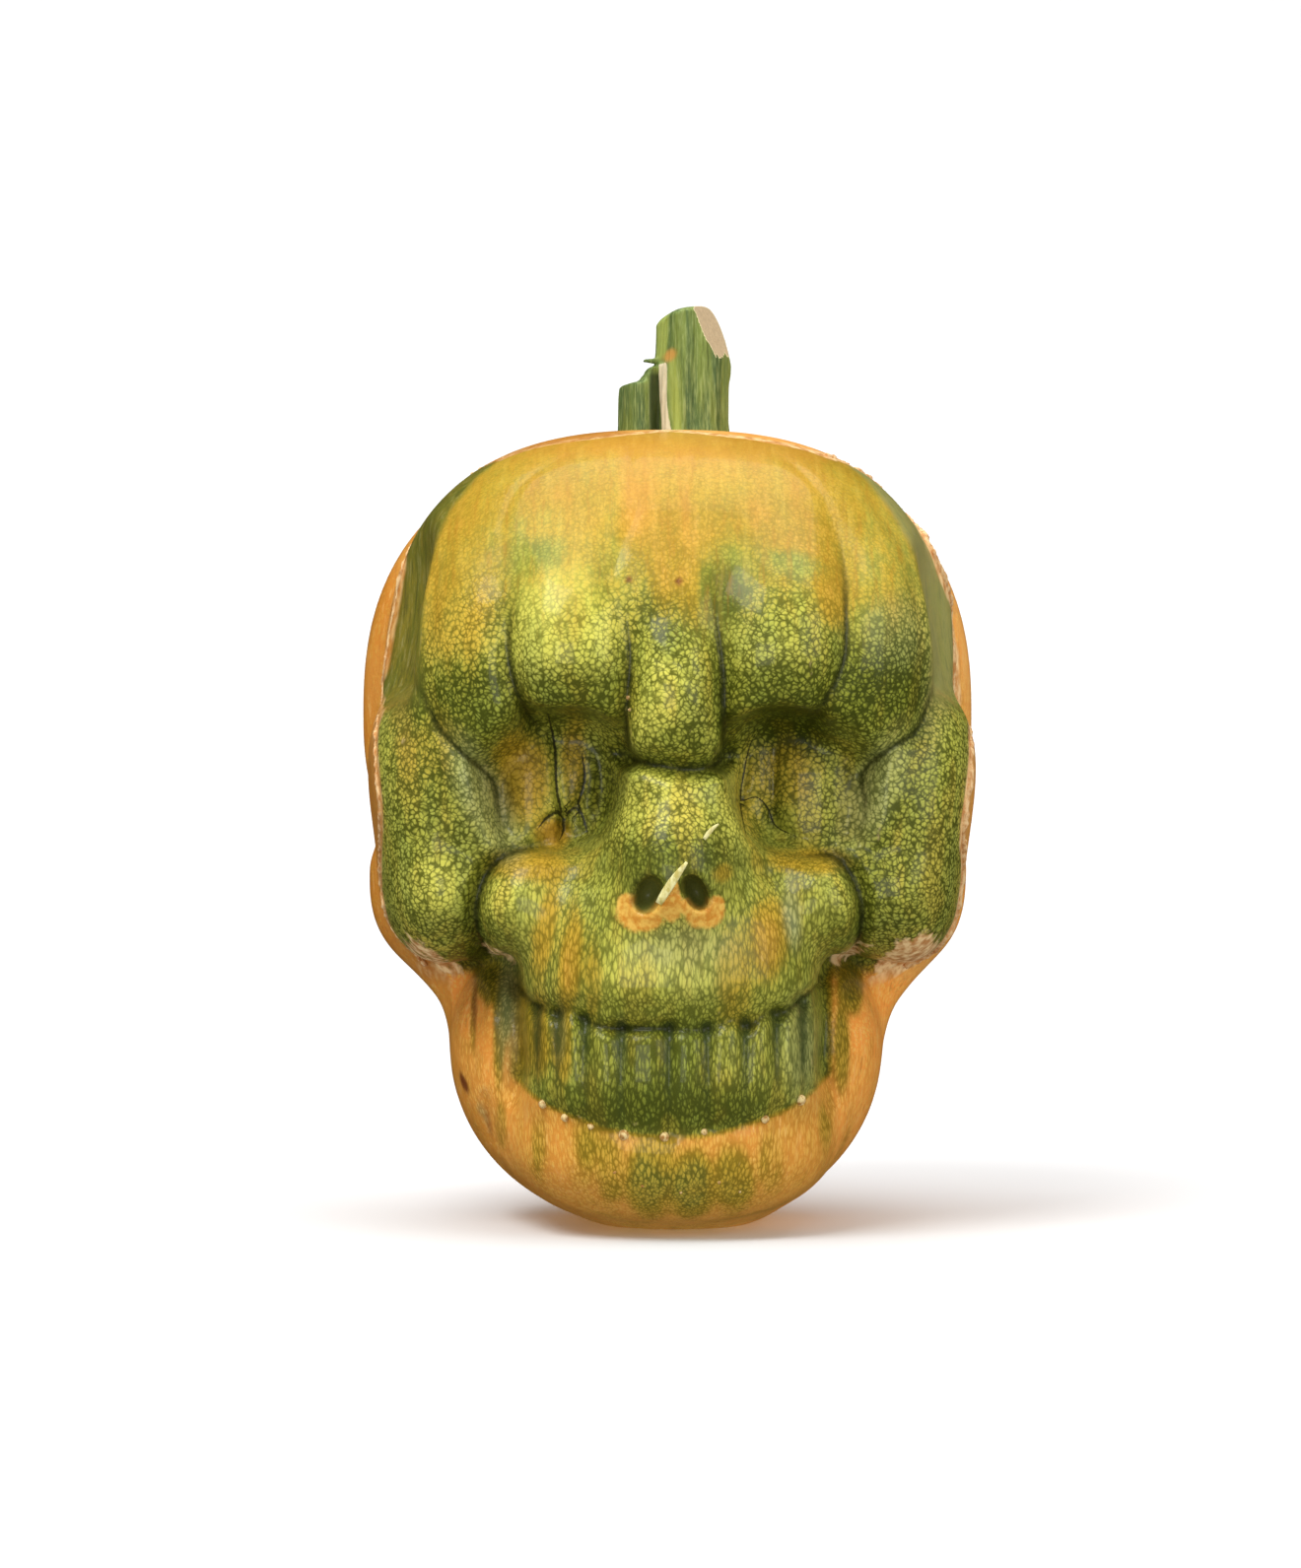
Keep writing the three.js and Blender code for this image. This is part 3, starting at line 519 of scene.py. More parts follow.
# Daubs over the skin, seen from the front, for each tint in the order that they are laid on:
# the value it goes to, centre (across, up), half-sizes, tilt in degrees, softness of the edge.
DAUBS = {
    # 0 green to 1 orange
    "ripe": [(.72, (2, 205), (11, 22)), (.85, (-9, 214), (5, 16), 6), (.75, (10, 232), (60, 9)),
             (.45, (-62, 190), (15, 26)), (.7, (36, 210), (20, 18), 0, .8),
             (.6, (47, 190), (5, 12), 0, .8), (.25, (-13, 190), (7, 15)), (.35, (-40, 205), (9, 12)),
             (.2, (20, 192), (10, 12)), (.6, (-62, 213), (6, 12), -20),
             (.35, (67, 204), (13, 26), 0, .8), (.55, (-40, 111), (13, 5)),
             (.62, (-28.5, 84), (3.6, 15), 4), (.45, (-22, 78), (3, 12)),
             (.55, (-36, 92), (3.5, 14), 10), (.5, (40, 112), (15, 4)), (.65, (28, 90), (6, 12)),
             (.45, (18, 80), (6, 16)), (.45, (14.6, 109), (3, 3)), (.45, (-31, 60), (3.2, 12), 0, .6),
             (.55, (-38, 60), (3.5, 12), 0, .8), (.6, (-44, 62), (3.5, 14), 0, .8),
             (.65, (-44, 136), (8, 13)), (.75, (-34, 120), (5, 4)), (.45, (-28, 142), (4, 14)),
             (.35, (24, 130), (5, 14)), (.4, (34, 138), (8, 12)), (.25, (-68, 145), (9, 12), 20),
             (.45, (-83, 176), (6, 34), -10, .8), (.3, (82, 180), (6, 34), 10, .8),
             (.62, (-40, 222), (26, 8), -14), (.1, (-40, 199), (8, 5), -15),
             (.15, (35, 197), (9, 4), 10), (.05, (16, 190), (6, 8)), (1, (16, 237), (54, 7))],
    # 0 dark green to 1 yellow-green; the lighter socket floors are partly painted light against the shade
    # under the brows
    "light": [(.95, (-29, 184), (17, 15), 0, .8), (.75, (-60, 172), (14, 20), 0, .8),
              (.35, (-57, 160), (10, 7)), (.5, (32, 184), (17, 14), 0, .8),
              (.35, (64, 168), (13, 16), 0, .8), (.8, (-4, 158), (9, 14), 15, .8),
              (.45, (9, 152), (7, 12), 0, .8), (.72, (1, 126), (15, 14), 0, .8),
              (.1, (1, 112), (18, 9), 0, .8), (.3, (0, 181), (9, 9), 0, .8),
              (.38, (-70, 112), (16, 28), 0, .7), (.7, (-68, 104), (9, 8)),
              (.28, (72, 110), (16, 34), 0, .7), (.7, (-43, 102), (12, 12), 0, .8),
              (.48, (44, 102), (12, 12), 0, .8), (.75, (0, 80), (36, 12), 0, .7),
              (.35, (-35, 79), (9, 8)), (.45, (-38, 134), (20, 24), 0, .6),
              (.4, (40, 134), (20, 24), 0, .6), (1, (-38, 130), (11, 17), 0, .7),
              (.5, (38, 130), (11, 17), 0, .7), (.9, (21, 130), (5, 14), 0, .7),
              (.25, (0, 56), (45, 12), 0, .5), (.15, (0, 42), (30, 8), 0, .8),
              (.4, (-28.6, 58), (3.4, 9), 0, .6), (.35, (-19, 58), (3.6, 8), 0, .7),
              (.32, (-7, 57), (5, 7), 0, .7), (.4, (5, 57), (4, 7), 0, .7),
              (.4, (16, 57), (4, 9), 0, .6), (.3, (26, 58), (3.6, 9), 0, .6),
              (.4, (34.5, 60), (3, 9), 0, .6), (.8, (-55, 132), (5, 18), -25),
              (.8, (60, 134), (5, 18), 25), (.4, (-35, 152), (9, 6)), (.05, (36, 151), (11, 7)),
              (.1, (16, 190), (6, 8))],
    # grey-blue bloom; at the right temple and outer brow partly a painted reflection
    "dull": [(.25, (-83, 176), (6, 32), -10, .8), (.5, (82, 180), (6, 34), 10, .8),
             (.9, (-54, 130), (6, 18), -25), (.8, (59, 132), (6, 18), 25),
             (.35, (-31.5, 63), (1.6, 8), 0, .6), (.3, (-14, 60), (1.6, 8), 0, .6),
             (.35, (8, 86), (10, 12)), (.8, (35, 96), (2.6, 9), -5, .8), (.6, (3, 88), (13, 5)),
             (.6, (38, 58), (5, 14)), (.4, (66, 178), (9, 10)), (.8, (-48, 66), (3, 16)),
             (.8, (-55.5, 34), (1.5, 6), -10, .7)],
    # tan scarred skin
    "cork": [(.8, (-71.5, 82), (10, 4.2), 42, .8), (.7, (-51, 84.4), (6, 2.4), 33, .8),
             (.7, (53, 84), (6, 2.6), -30, .8), (1, (71, 82.5), (10, 6.5), -42, .8)],
    # darker, duller skin: partly its own duller tone, partly painted shade along the brows' lower edges,
    # under the cheeks and above and below the teeth
    "deep": [(1, (-58, 153), (12, 8), 18), (.8, (-60, 162), (13, 9)), (1, (-80, 178), (7, 36), -8, .8),
             (.4, (0, 184), (9, 8)), (.6, (-40, 199), (8, 5), -15), (.6, (-47, 189), (4, 9)),
             (.6, (-20, 191), (2.5, 8)), (.7, (35, 197), (9, 4), 10), (.35, (0, 203), (13, 15)),
             (.35, (31, 200), (12, 16)), (.25, (-56, 203), (12, 16)), (.25, (-34, 221), (16, 9)),
             (1, (36, 151), (11, 7)), (.9, (-59, 83), (5, 5)), (.8, (16, 191), (6, 9)),
             (.3, (33, 206), (18, 14)), (.25, (30, 234), (44, 6), 12), (.5, (-30, 62), (40, 8)),
             (.75, (-28, 159), (19, 6), -2), (.85, (32, 160), (20, 8)), (1, (62, 160), (16, 14), -14),
             (.7, (4, 145), (14, 6)), (.3, (-68, 136), (12, 14)), (.4, (-17, 138), (4, 20)),
             (.1, (16, 138), (5, 22)), (1, (17, 150), (4, 9)), (.6, (0, 70), (42, 6)),
             (.6, (-50, 90), (6, 7)), (.7, (50, 90), (7, 7)), (.7, (34, 82), (7, 9)),
             (.8, (-2, 56), (14, 9)), (.5, (27, 80), (10, 13)), (.4, (-24, 84), (4, 14), 8),
             (.8, (0, 42), (32, 8), 0, .8)],
    # brown specks and lines
    "brown": [(1, (-61.4, 45), (1, 3.2), -22, .6), (.9, (-11.9, 192.8), (1, 1), 0, .6),
              (.9, (2.3, 192.2), (1, 1), 0, .6), (.6, (-58.2, 68), (.9, 7), 0, .8),
              (.5, (-53.8, 34), (.8, 5), -8, .8)],
    # the net drawn out upwards
    "streak": [(1, (0, 70), (52, 42), 0, .4), (1, (-29, 95), (14, 24), 0, .6),
               (1, (32, 95), (14, 24), 0, .6)],
}
# what every daub's softness is multiplied by
DAUB_SOFTNESS = 1.35
# olive left in the orange skin at the corners of the jaw: centre, half-sizes, ripeness
JAW_OLIVE = [((-54, 77), (4.0, 7), .4), ((-49, 70), (2.6, 11), .35), ((-50.5, 58), (1.6, 13), .6),
             ((-58.5, 64), (1.0, 9), .7),
             ((54, 74), (4, 8), .4), ((51, 56), (2.4, 13), .5), ((-50, 33), (1.8, 8), .75),
             ((-38, 30), (2.2, 8), .72), ((46, 36), (2.4, 8), .75)]
# olive left low on the orange chin: the same
CHIN_OLIVE = [((-6, 21), (7, 12), .38), ((6, 19), (7, 10), .30), ((18, 21), (6, 10), .50),
              ((-17, 24), (4, 11), .62), ((29, 26), (4, 9), .70), ((-2, 33), (5, 9), .6),
              ((-24, 32), (4, 11), .62)]
# what the tints go to on the smooth temples: at the left, at the right; the right temple's dull is partly a
# painted reflection
TEMPLE_TINTS = {"dull": (.1, .8), "deep": (1, 0), "ripe": (.35, .3), "streak": (1, 1), "light": (0, .7)}
# the tints before any daub
FIRST_TINTS = {"ripe": 0.0, "light": 0.5, "dull": 0.0, "cork": 0.0, "streak": 0.0, "deep": 0.0,
               "brown": 0.0}

# the mould's seam: (height, half-width) up the left and the right of the face
SEAM_LEFT = [(0, 5), (5, 22), (20, 49), (40, 62), (60, 67), (74, 70), (82, 76.2), (91, 84.3), (103, 86.7),
             (115, 86.1), (127, 85.2), (145, 87.2), (163, 87.3), (181, 84.9), (199, 81.3), (210, 77.5),
             (221.5, 71.7), (229, 58), (235, 38), (240, 0)]
SEAM_RIGHT = [(0, 5), (5, 30), (20, 52), (40, 61), (60, 63), (73, 60.3), (77.5, 67.8), (82, 78.3),
              (94, 85.8), (109, 87.4), (121, 86.1), (139, 88.8), (157, 90.3), (169, 89.6), (175.6, 88.6),
              (183.4, 87.3), (195.1, 84), (213.1, 75.3), (225.7, 63.3), (230.8, 51.3), (236, 30), (240, 0)]
# the seam is never further back than this
SEAM_DEPTH = 8
# the edge where the face turns to the smooth temples: (height, half-width), left and right
TEMPLE_LEFT = [(140, 66), (150, 66), (160, 70), (177, 71), (199, 69.5), (215, 63), (225, 56), (240, 40)]
TEMPLE_RIGHT = [(140, 70), (150, 71), (163, 75), (177, 75), (199, 72), (215, 64), (225, 57), (240, 40)]
# how far out the skin looks for other skin that shades it, for the shade painted into hollows
SHADE_REACH = (4.0, 10.0, 20.0)


def hollow_shading(p, way):
    """How deep in a hollow each point sits, from 0 in the open to about 1: the share of shade painted there.
    """
    found = [np.clip(1 - skin(p + way * far) / far, 0, 1.2) for far in SHADE_REACH]
    return np.clip(sum(found) / len(found), 0, 1)


def frontness(p, way):
    """About how far over the skin the mould's seam is, more than 0 on the face's side."""
    x, y, z = p
    left, right = (np.interp(z, *np.array(line).T) for line in (SEAM_LEFT, SEAM_RIGHT))
    across, deep, _ = np.sqrt(np.clip(1 - way ** 2, 0, 1)) + 0.15
    return np.minimum((np.where(x < 0, left, right) - np.abs(x)) / across, (SEAM_DEPTH - y) / deep)


def seam_distance(points, triangles, side):
    """Distance from the seam's line, more than 0 on the face's side."""
    runs = [at for way in (-1, 1) for at in seam_run(points, triangles, side, way)]
    near = np.full(len(points), 1e6)
    for at in runs:
        near = np.minimum(near, ((points - at) ** 2).sum(1))
    z = points[:, 2]
    along = ease((SEAM_HIGH + 3 - z) / 6) * ease((z - SEAM_LOW + 3) / 6)
    return np.sign(side) * (np.sqrt(near) * along + np.abs(side) * (1 - along))


def beside_runs(x, z, names, reach):
    """Distance to the left (+) or right (-) of the nearest run, and the run's share there."""
    nearest, share = np.full(x.shape, reach), np.zeros_like(x)
    for run in (run for name, _, _, run in CREASE_RUNS if name in names):
        for a, b in zip(run[:-1], run[1:]):
            t, away = beside_line(x, z, a, b)
            side = np.where((b[0] - a[0]) * (z - a[1]) - (b[1] - a[1]) * (x - a[0]) < 0, -1, 1)
            closer = away < np.abs(nearest)
            nearest = np.where(closer, away * side, nearest)
            share = np.where(closer, a[2] + t * (b[2] - a[2]), share)
    return nearest, share


def toward(made, name, to, share):
    """A tint taken that share of the way to a value."""
    made[name] += (to - made[name]) * share


def daub(made, name, x, z, to, centre, half, tilt=0, soft=.9):
    """A tint taken to a value over an ellipse with a soft edge, seen from the front."""
    soft *= DAUB_SOFTNESS
    toward(made, name, to, ease((1 + soft / 2 - off_centre(x, z, centre, half, tilt)) / soft))


def tints(points, triangles):
    """The skin's tints at each point."""
    p = points.T
    x, y, z = p
    way = steepness(points, skin(p), skin, SLOPE_GAP).T
    made = {name: np.full(x.shape, start) for name, start in FIRST_TINTS.items()}
    # riper towards the crown, and with the net more drawn out
    made["ripe"] += 0.55 * ease((z - 178) / 36)
    made["streak"] += 0.45 * ease((z - 178) / 40)
    for name, rows in DAUBS.items():
        for row in rows:
            daub(made, name, x, z, *row)

    # the orange jaw and chin, with the olive left in them
    jaw = ease((np.abs(x - 0.5) - 44) / 5) * ease((83 - z) / 8)
    chin = ease((33.5 + 0.0068 * x * x - z) / 3 + 0.5)
    toward(made, "ripe", 1, jaw)
    toward(made, "ripe", 0.92, chin)
    for centre, half, to in CHIN_OLIVE:
        toward(made, "ripe", to, ease((1.4 - off_centre(x, z, centre, half)) / .9) * chin)
    for centre, half, to in JAW_OLIVE:
        olive = ease(1.5 - off_centre(x, z, centre, half))
        toward(made, "ripe", to, olive)
        toward(made, "streak", 1, olive)

    # the rubbed patch and the nostrils
    made["bare"] = np.clip(np.max([1.5 - off_centre(x, z, *spot) for spot in BARE_PATCH], 0), 0, 1)
    made["nostril"] = np.zeros_like(x)
    for way_in, centre, (half_x, _, half_z), *rest in DIPS[:2]:
        inner = (way_in, centre, (half_x - 0.3, 16, half_z - 0.3), *rest)
        made["nostril"] = np.maximum(made["nostril"], np.clip(0.5 - outside(p, inner) / 0.8, 0, 1))

    # the seam, and the plain orange skin behind it
    side = seam_distance(points, triangles, frontness(p, way))
    front = ease((side - 3.5) / 2 + 0.5)
    toward(made, "ripe", 1, 1 - front)
    for name in ("light", "dull", "cork", "deep"):
        made[name] *= front
    made["deep"] += 0.65 * (1 - front) * ease(-x / 20) * ease((90 - y) / 60)
    toward(made, "light", 0.9, ease((z - 196) / 30) * front)
    made["light"] *= (1 - chin * 0.45) * (1 - jaw)
    toward(made, "streak", 1, chin)
    made["brown"] *= ease((12 - y) / 8)
    toward(made, "streak", 0.6, 1 - front)
    made["bare"] *= front
    made["crisp"] = 1 - 0.55 * ease((z - 172 + 6 * np.sin(x / 7)) / 24) * front

    # the smooth temples
    edge = np.where(x < 0, *(np.interp(z, *np.array(line).T) for line in (TEMPLE_LEFT, TEMPLE_RIGHT)))
    temple = ease((np.abs(x) - edge) / 3) * ease((z - 154) / 12) * front
    made["crisp"] *= 1 - 0.8 * temple
    for name, (left, right) in TEMPLE_TINTS.items():
        toward(made, name, np.where(x < 0, left, right), temple)

    made["temple"] = temple
    # how much painted shade each point gets in the hollows
    made["hollow_shade"] = hollow_shading(p, way)
    made["seam"] = side
    made["rim"] = ease((z - 72) / 6)
    # where the creases, tooth gaps, cracks and folds get their dark lines and painted shade
    made["crease"] = np.clip(pressed_in(p, FOLDS + ("mouth corner",)) / 6, 0, 1)
    made["tooth"] = np.clip(pressed_in(p, ("tooth gap",)) / 2.6, 0, 1)
    made["gap"], made["split"] = beside_runs(x, z, ("crack",), 4.0)
    made["split"] *= front
    made["fold"], made["tuck"] = beside_runs(x, z, FOLDS, 6.0)
    made["tuck"] *= front * ease((-16 - y) / 12)
    return made


# --- materials

class Wire:
    """A material's value or link that Python sums can use."""

    def __init__(self, paint, socket):
        self.paint, self.socket = paint, socket

    def maths(self, operation, first, second):
        """A sum of two values or links."""
        return self.paint.node("ShaderNodeMath", {"operation": operation}, {0: first, 1: second})

    def __add__(self, other):
        return self.maths("ADD", self, other)

    def __sub__(self, other):
        return self.maths("SUBTRACT", self, other)

    def __rsub__(self, other):
        return self.maths("SUBTRACT", other, self)

    def __mul__(self, other):
        return self.maths("MULTIPLY", self, other)

    __radd__ = __add__
    __rmul__ = __mul__

    def size(self):
        """The value without its sign."""
        return self.maths("ABSOLUTE", self, 0.0)

    def clamped(self):
        """The value kept within 0 and 1."""
        return self.paint.node("ShaderNodeClamp", {}, {0: self, 1: 0.0, 2: 1.0})


class Nodes:
    """A tree of nodes."""

    def __init__(self, tree):
        self.tree = tree

    def node(self, kind, settings, inputs, output=0):
        """A new node with its settings, and the values or links of its sockets."""
        made = self.tree.nodes.new(kind)
        for name, value in settings.items():
            setattr(made, name, value)
        for key, value in inputs.items():
            if isinstance(value, Wire):
                self.tree.links.new(value.socket, made.inputs[key])
            else:
                made.inputs[key].default_value = value
        return Wire(self, made.outputs[output])

    def noise(self, place, size, detail, rough, output=0):
        """Noise with lumps of about size, in millimetres."""
        return self.node("ShaderNodeTexNoise", {"noise_dimensions": "3D"},
                         {"Vector": place, "Scale": 1 / (size * MM), "Detail": detail,
                          "Roughness": rough}, output)

    def push(self, place, size, amount):
        """A sideways push by noise of that size, by up to that many millimetres."""
        way = self.noise(place, size, 2.0, 0.5, "Color")
        way = self.node("ShaderNodeVectorMath", {"operation": "SUBTRACT"}, {0: way, 1: (.5, .5, .5)})
        return self.node("ShaderNodeVectorMath", {"operation": "SCALE"}, {0: way, 3: 2 * amount * MM})


class Paint(Nodes):
    """A procedural material, made node by node."""

    def __init__(self, name):
        self.material = bpy.data.materials.new(name)
        self.material.use_nodes = True
        super().__init__(self.material.node_tree)
        self.shader = self.tree.nodes["Principled BSDF"]

    def place(self):
        """The place on the piece, in metres."""
        return self.node("ShaderNodeTexCoord", {}, {}, "Object")

    def stretched(self, place, scale, turn=(0, 0, 0)):
        """The place turned and scaled, so that a pattern on it is drawn out."""
        return self.node("ShaderNodeMapping", {}, {0: place, "Rotation": turn, "Scale": scale})

    def tint(self, name):
        """An attribute of the piece's points."""
        return self.node("ShaderNodeAttribute", {"attribute_name": name}, {}, "Fac")

    def cells(self, place, size, feature="DISTANCE_TO_EDGE", output="Distance"):
        """Cells of about size, in millimetres."""
        return self.node("ShaderNodeTexVoronoi", {"voronoi_dimensions": "3D", "feature": feature},
                         {"Vector": place, "Scale": 1 / (size * MM)}, output)

    def shifted(self, place, size, amount):
        """The place, pushed about by noise of that size, by that many millimetres."""
        push = self.push(place, size, amount)
        return self.node("ShaderNodeVectorMath", {"operation": "ADD"}, {0: place, 1: push})

    def step(self, value, low, high):
        """0 at low to 1 at high, with a soft start and end."""
        return self.node("ShaderNodeMapRange", {"interpolation_type": "SMOOTHSTEP", "clamp": True},
                         {0: value, 1: low, 2: high, 3: 0.0, 4: 1.0})

    def mixed(self, share, first, second, way="MIX"):
        """The first colour, with that share of the second."""
        return self.node("ShaderNodeMix", {"data_type": "RGBA", "blend_type": way},
                         {0: share, 6: colour(first), 7: colour(second)}, 2)

    def wear(self, **sockets):
        """The material, with the values or links of its shader's sockets."""
        for name, value in sockets.items():
            socket = self.shader.inputs[name.replace("_", " ")]
            if isinstance(value, Wire):
                self.tree.links.new(value.socket, socket)
            else:
                socket.default_value = value
        return self.material

    def raised(self, height, depth):
        """A bump of that many millimetres over a height of 0 to 1."""
        return self.node("ShaderNodeBump", {}, {"Strength": 1.0, "Distance": depth * MM,
                                                "Height": height}, "Normal")


class Growth(Nodes):
    """A geometry tree, with named inputs for its sizes."""

    def __init__(self, name, sizes):
        super().__init__(bpy.data.node_groups.new(name, "GeometryNodeTree"))
        self.sizes = sizes
        face = self.tree.interface
        face.new_socket("Geometry", in_out="INPUT", socket_type="NodeSocketGeometry")
        for label, value in sizes.items():
            face.new_socket(label, in_out="INPUT", socket_type="NodeSocketFloat").default_value = value
        face.new_socket("Geometry", in_out="OUTPUT", socket_type="NodeSocketGeometry")
        self.group = self.tree.nodes.new("NodeGroupInput")

    def given(self, label="Geometry"):
        """One of the tree's own inputs."""
        return Wire(self, self.group.outputs[label])

    def grown(self, made, geometry, material):
        """The tree ended and run on the object, which is left with a plain mesh."""
        done = self.node("GeometryNodeRealizeInstances", {}, {"Geometry": geometry})
        place = self.node("GeometryNodeInputPosition", {}, {})
        done = self.node("GeometryNodeSetPosition", {}, {"Geometry": done, "Offset": self.push(
            place, self.sizes["Lump Size"], self.sizes["Lump Height"])})
        done = self.node("GeometryNodeSetShadeSmooth", {}, {"Geometry": done})
        done = self.node("GeometryNodeSetMaterial", {}, {"Geometry": done, "Material": material})
        end = self.tree.nodes.new("NodeGroupOutput")
        self.tree.links.new(done.socket, end.inputs["Geometry"])
        modifier = made.modifiers.new(self.tree.name, "NODES")
        modifier.node_group = self.tree
        for item in self.tree.interface.items_tree:
            if item.in_out == "INPUT" and item.name in self.sizes:
                modifier[item.identifier] = float(self.sizes[item.name])
        applied(made)


def linear(red, green, blue):
    """A colour picked as 0 to 255 on a screen, as light."""
    def one(v):
        v /= 255
        return v / 12.92 if v <= 0.04045 else ((v + 0.055) / 1.055) ** 2.4
    return (one(red), one(green), one(blue), 1.0)


def colour(value):
    """A colour or a link, as a colour socket takes it."""
    if isinstance(value, Wire):
        return value
    value = tuple(value)
    return value if len(value) == 4 else value + (1.0,)


# the skin's colours, picked as 0 to 255
SKIN_HUES = {name: linear(*picked) for name, picked in {
    "dark green spot": (156, 160, 60), "light green spot": (242, 234, 104), "warm spot": (226, 190, 72),
    "cool spot": (168, 186, 92), "turning spot": (216, 178, 60),
    "light green line": (104, 106, 28), "warm line": (104, 92, 26), "turning line": (132, 106, 20),
    "gold line": (168, 118, 28),
    "scratch": (190, 116, 46), "pale streak": (255, 206, 124),
    "temple line": (70, 68, 28), "temple streak": (176, 164, 108),
    "forehead line": (172, 118, 30), "forehead streak": (246, 204, 96),
    "bloom line": (104, 112, 64), "bloom": (182, 184, 130),
    # the dark colours of the creases, tooth gaps, cracks and folds are partly the skin's own dark green,
    # partly painted shade
    "crease": (46, 54, 22), "tooth gap": (54, 66, 30), "crack": (40, 40, 14), "fold": (42, 46, 14),
    "deep flesh": (212, 142, 50), "flesh": (238, 190, 88), "nostril": (104, 108, 48),
    "deep cork": (200, 138, 76), "cork": (255, 220, 160), "worn": (228, 174, 98), "brown": (110, 50, 24),
}.items()}
# what the skin is multiplied by: where duller and in painted shade, under random clouds, in the painted shade
# of hollows, and in painted shade at the seam
DULL_AND_SHADE, CLOUDED, SHADE_IN_HOLLOWS = (0.64, 0.70, 0.50), (0.72, 0.80, 0.60), (0.46, 0.52, 0.30)
SHADED = (0.70, 0.62, 0.48)


def skin_net(paint, place, drawn, size, streak):
    """The net: round spots on the lobes, drawn-out spots on the muzzle and teeth."""
    shaky = paint.shifted(paint.shifted(place, 5.0, 1.5), 1.7, 0.55)
    wobbly = paint.shifted(paint.shifted(drawn, 5.0, 1.0), 1.4, 0.4)
    nets = []
    for where, width in ((shaky, size), (wobbly, size * 0.7)):
        tone = paint.cells(where, width, "F1", "Color")
        net = paint.step(paint.cells(where, width), -0.03, 0.33) * 0.55
        net = net + paint.step(paint.cells(where, width, "F1"), 0.85, 0.2) * 0.6
        small = paint.step(paint.cells(where, width * 0.52), -0.05, 0.35)
        nets.append(net * (small * 0.35 + 0.65) * (tone * 0.3 + 0.85))
    patchy = paint.noise(shaky, 5.5, 3, 0.6)
    return nets[0] + (nets[1] - nets[0]) * streak + (patchy - 0.5) * 0.8


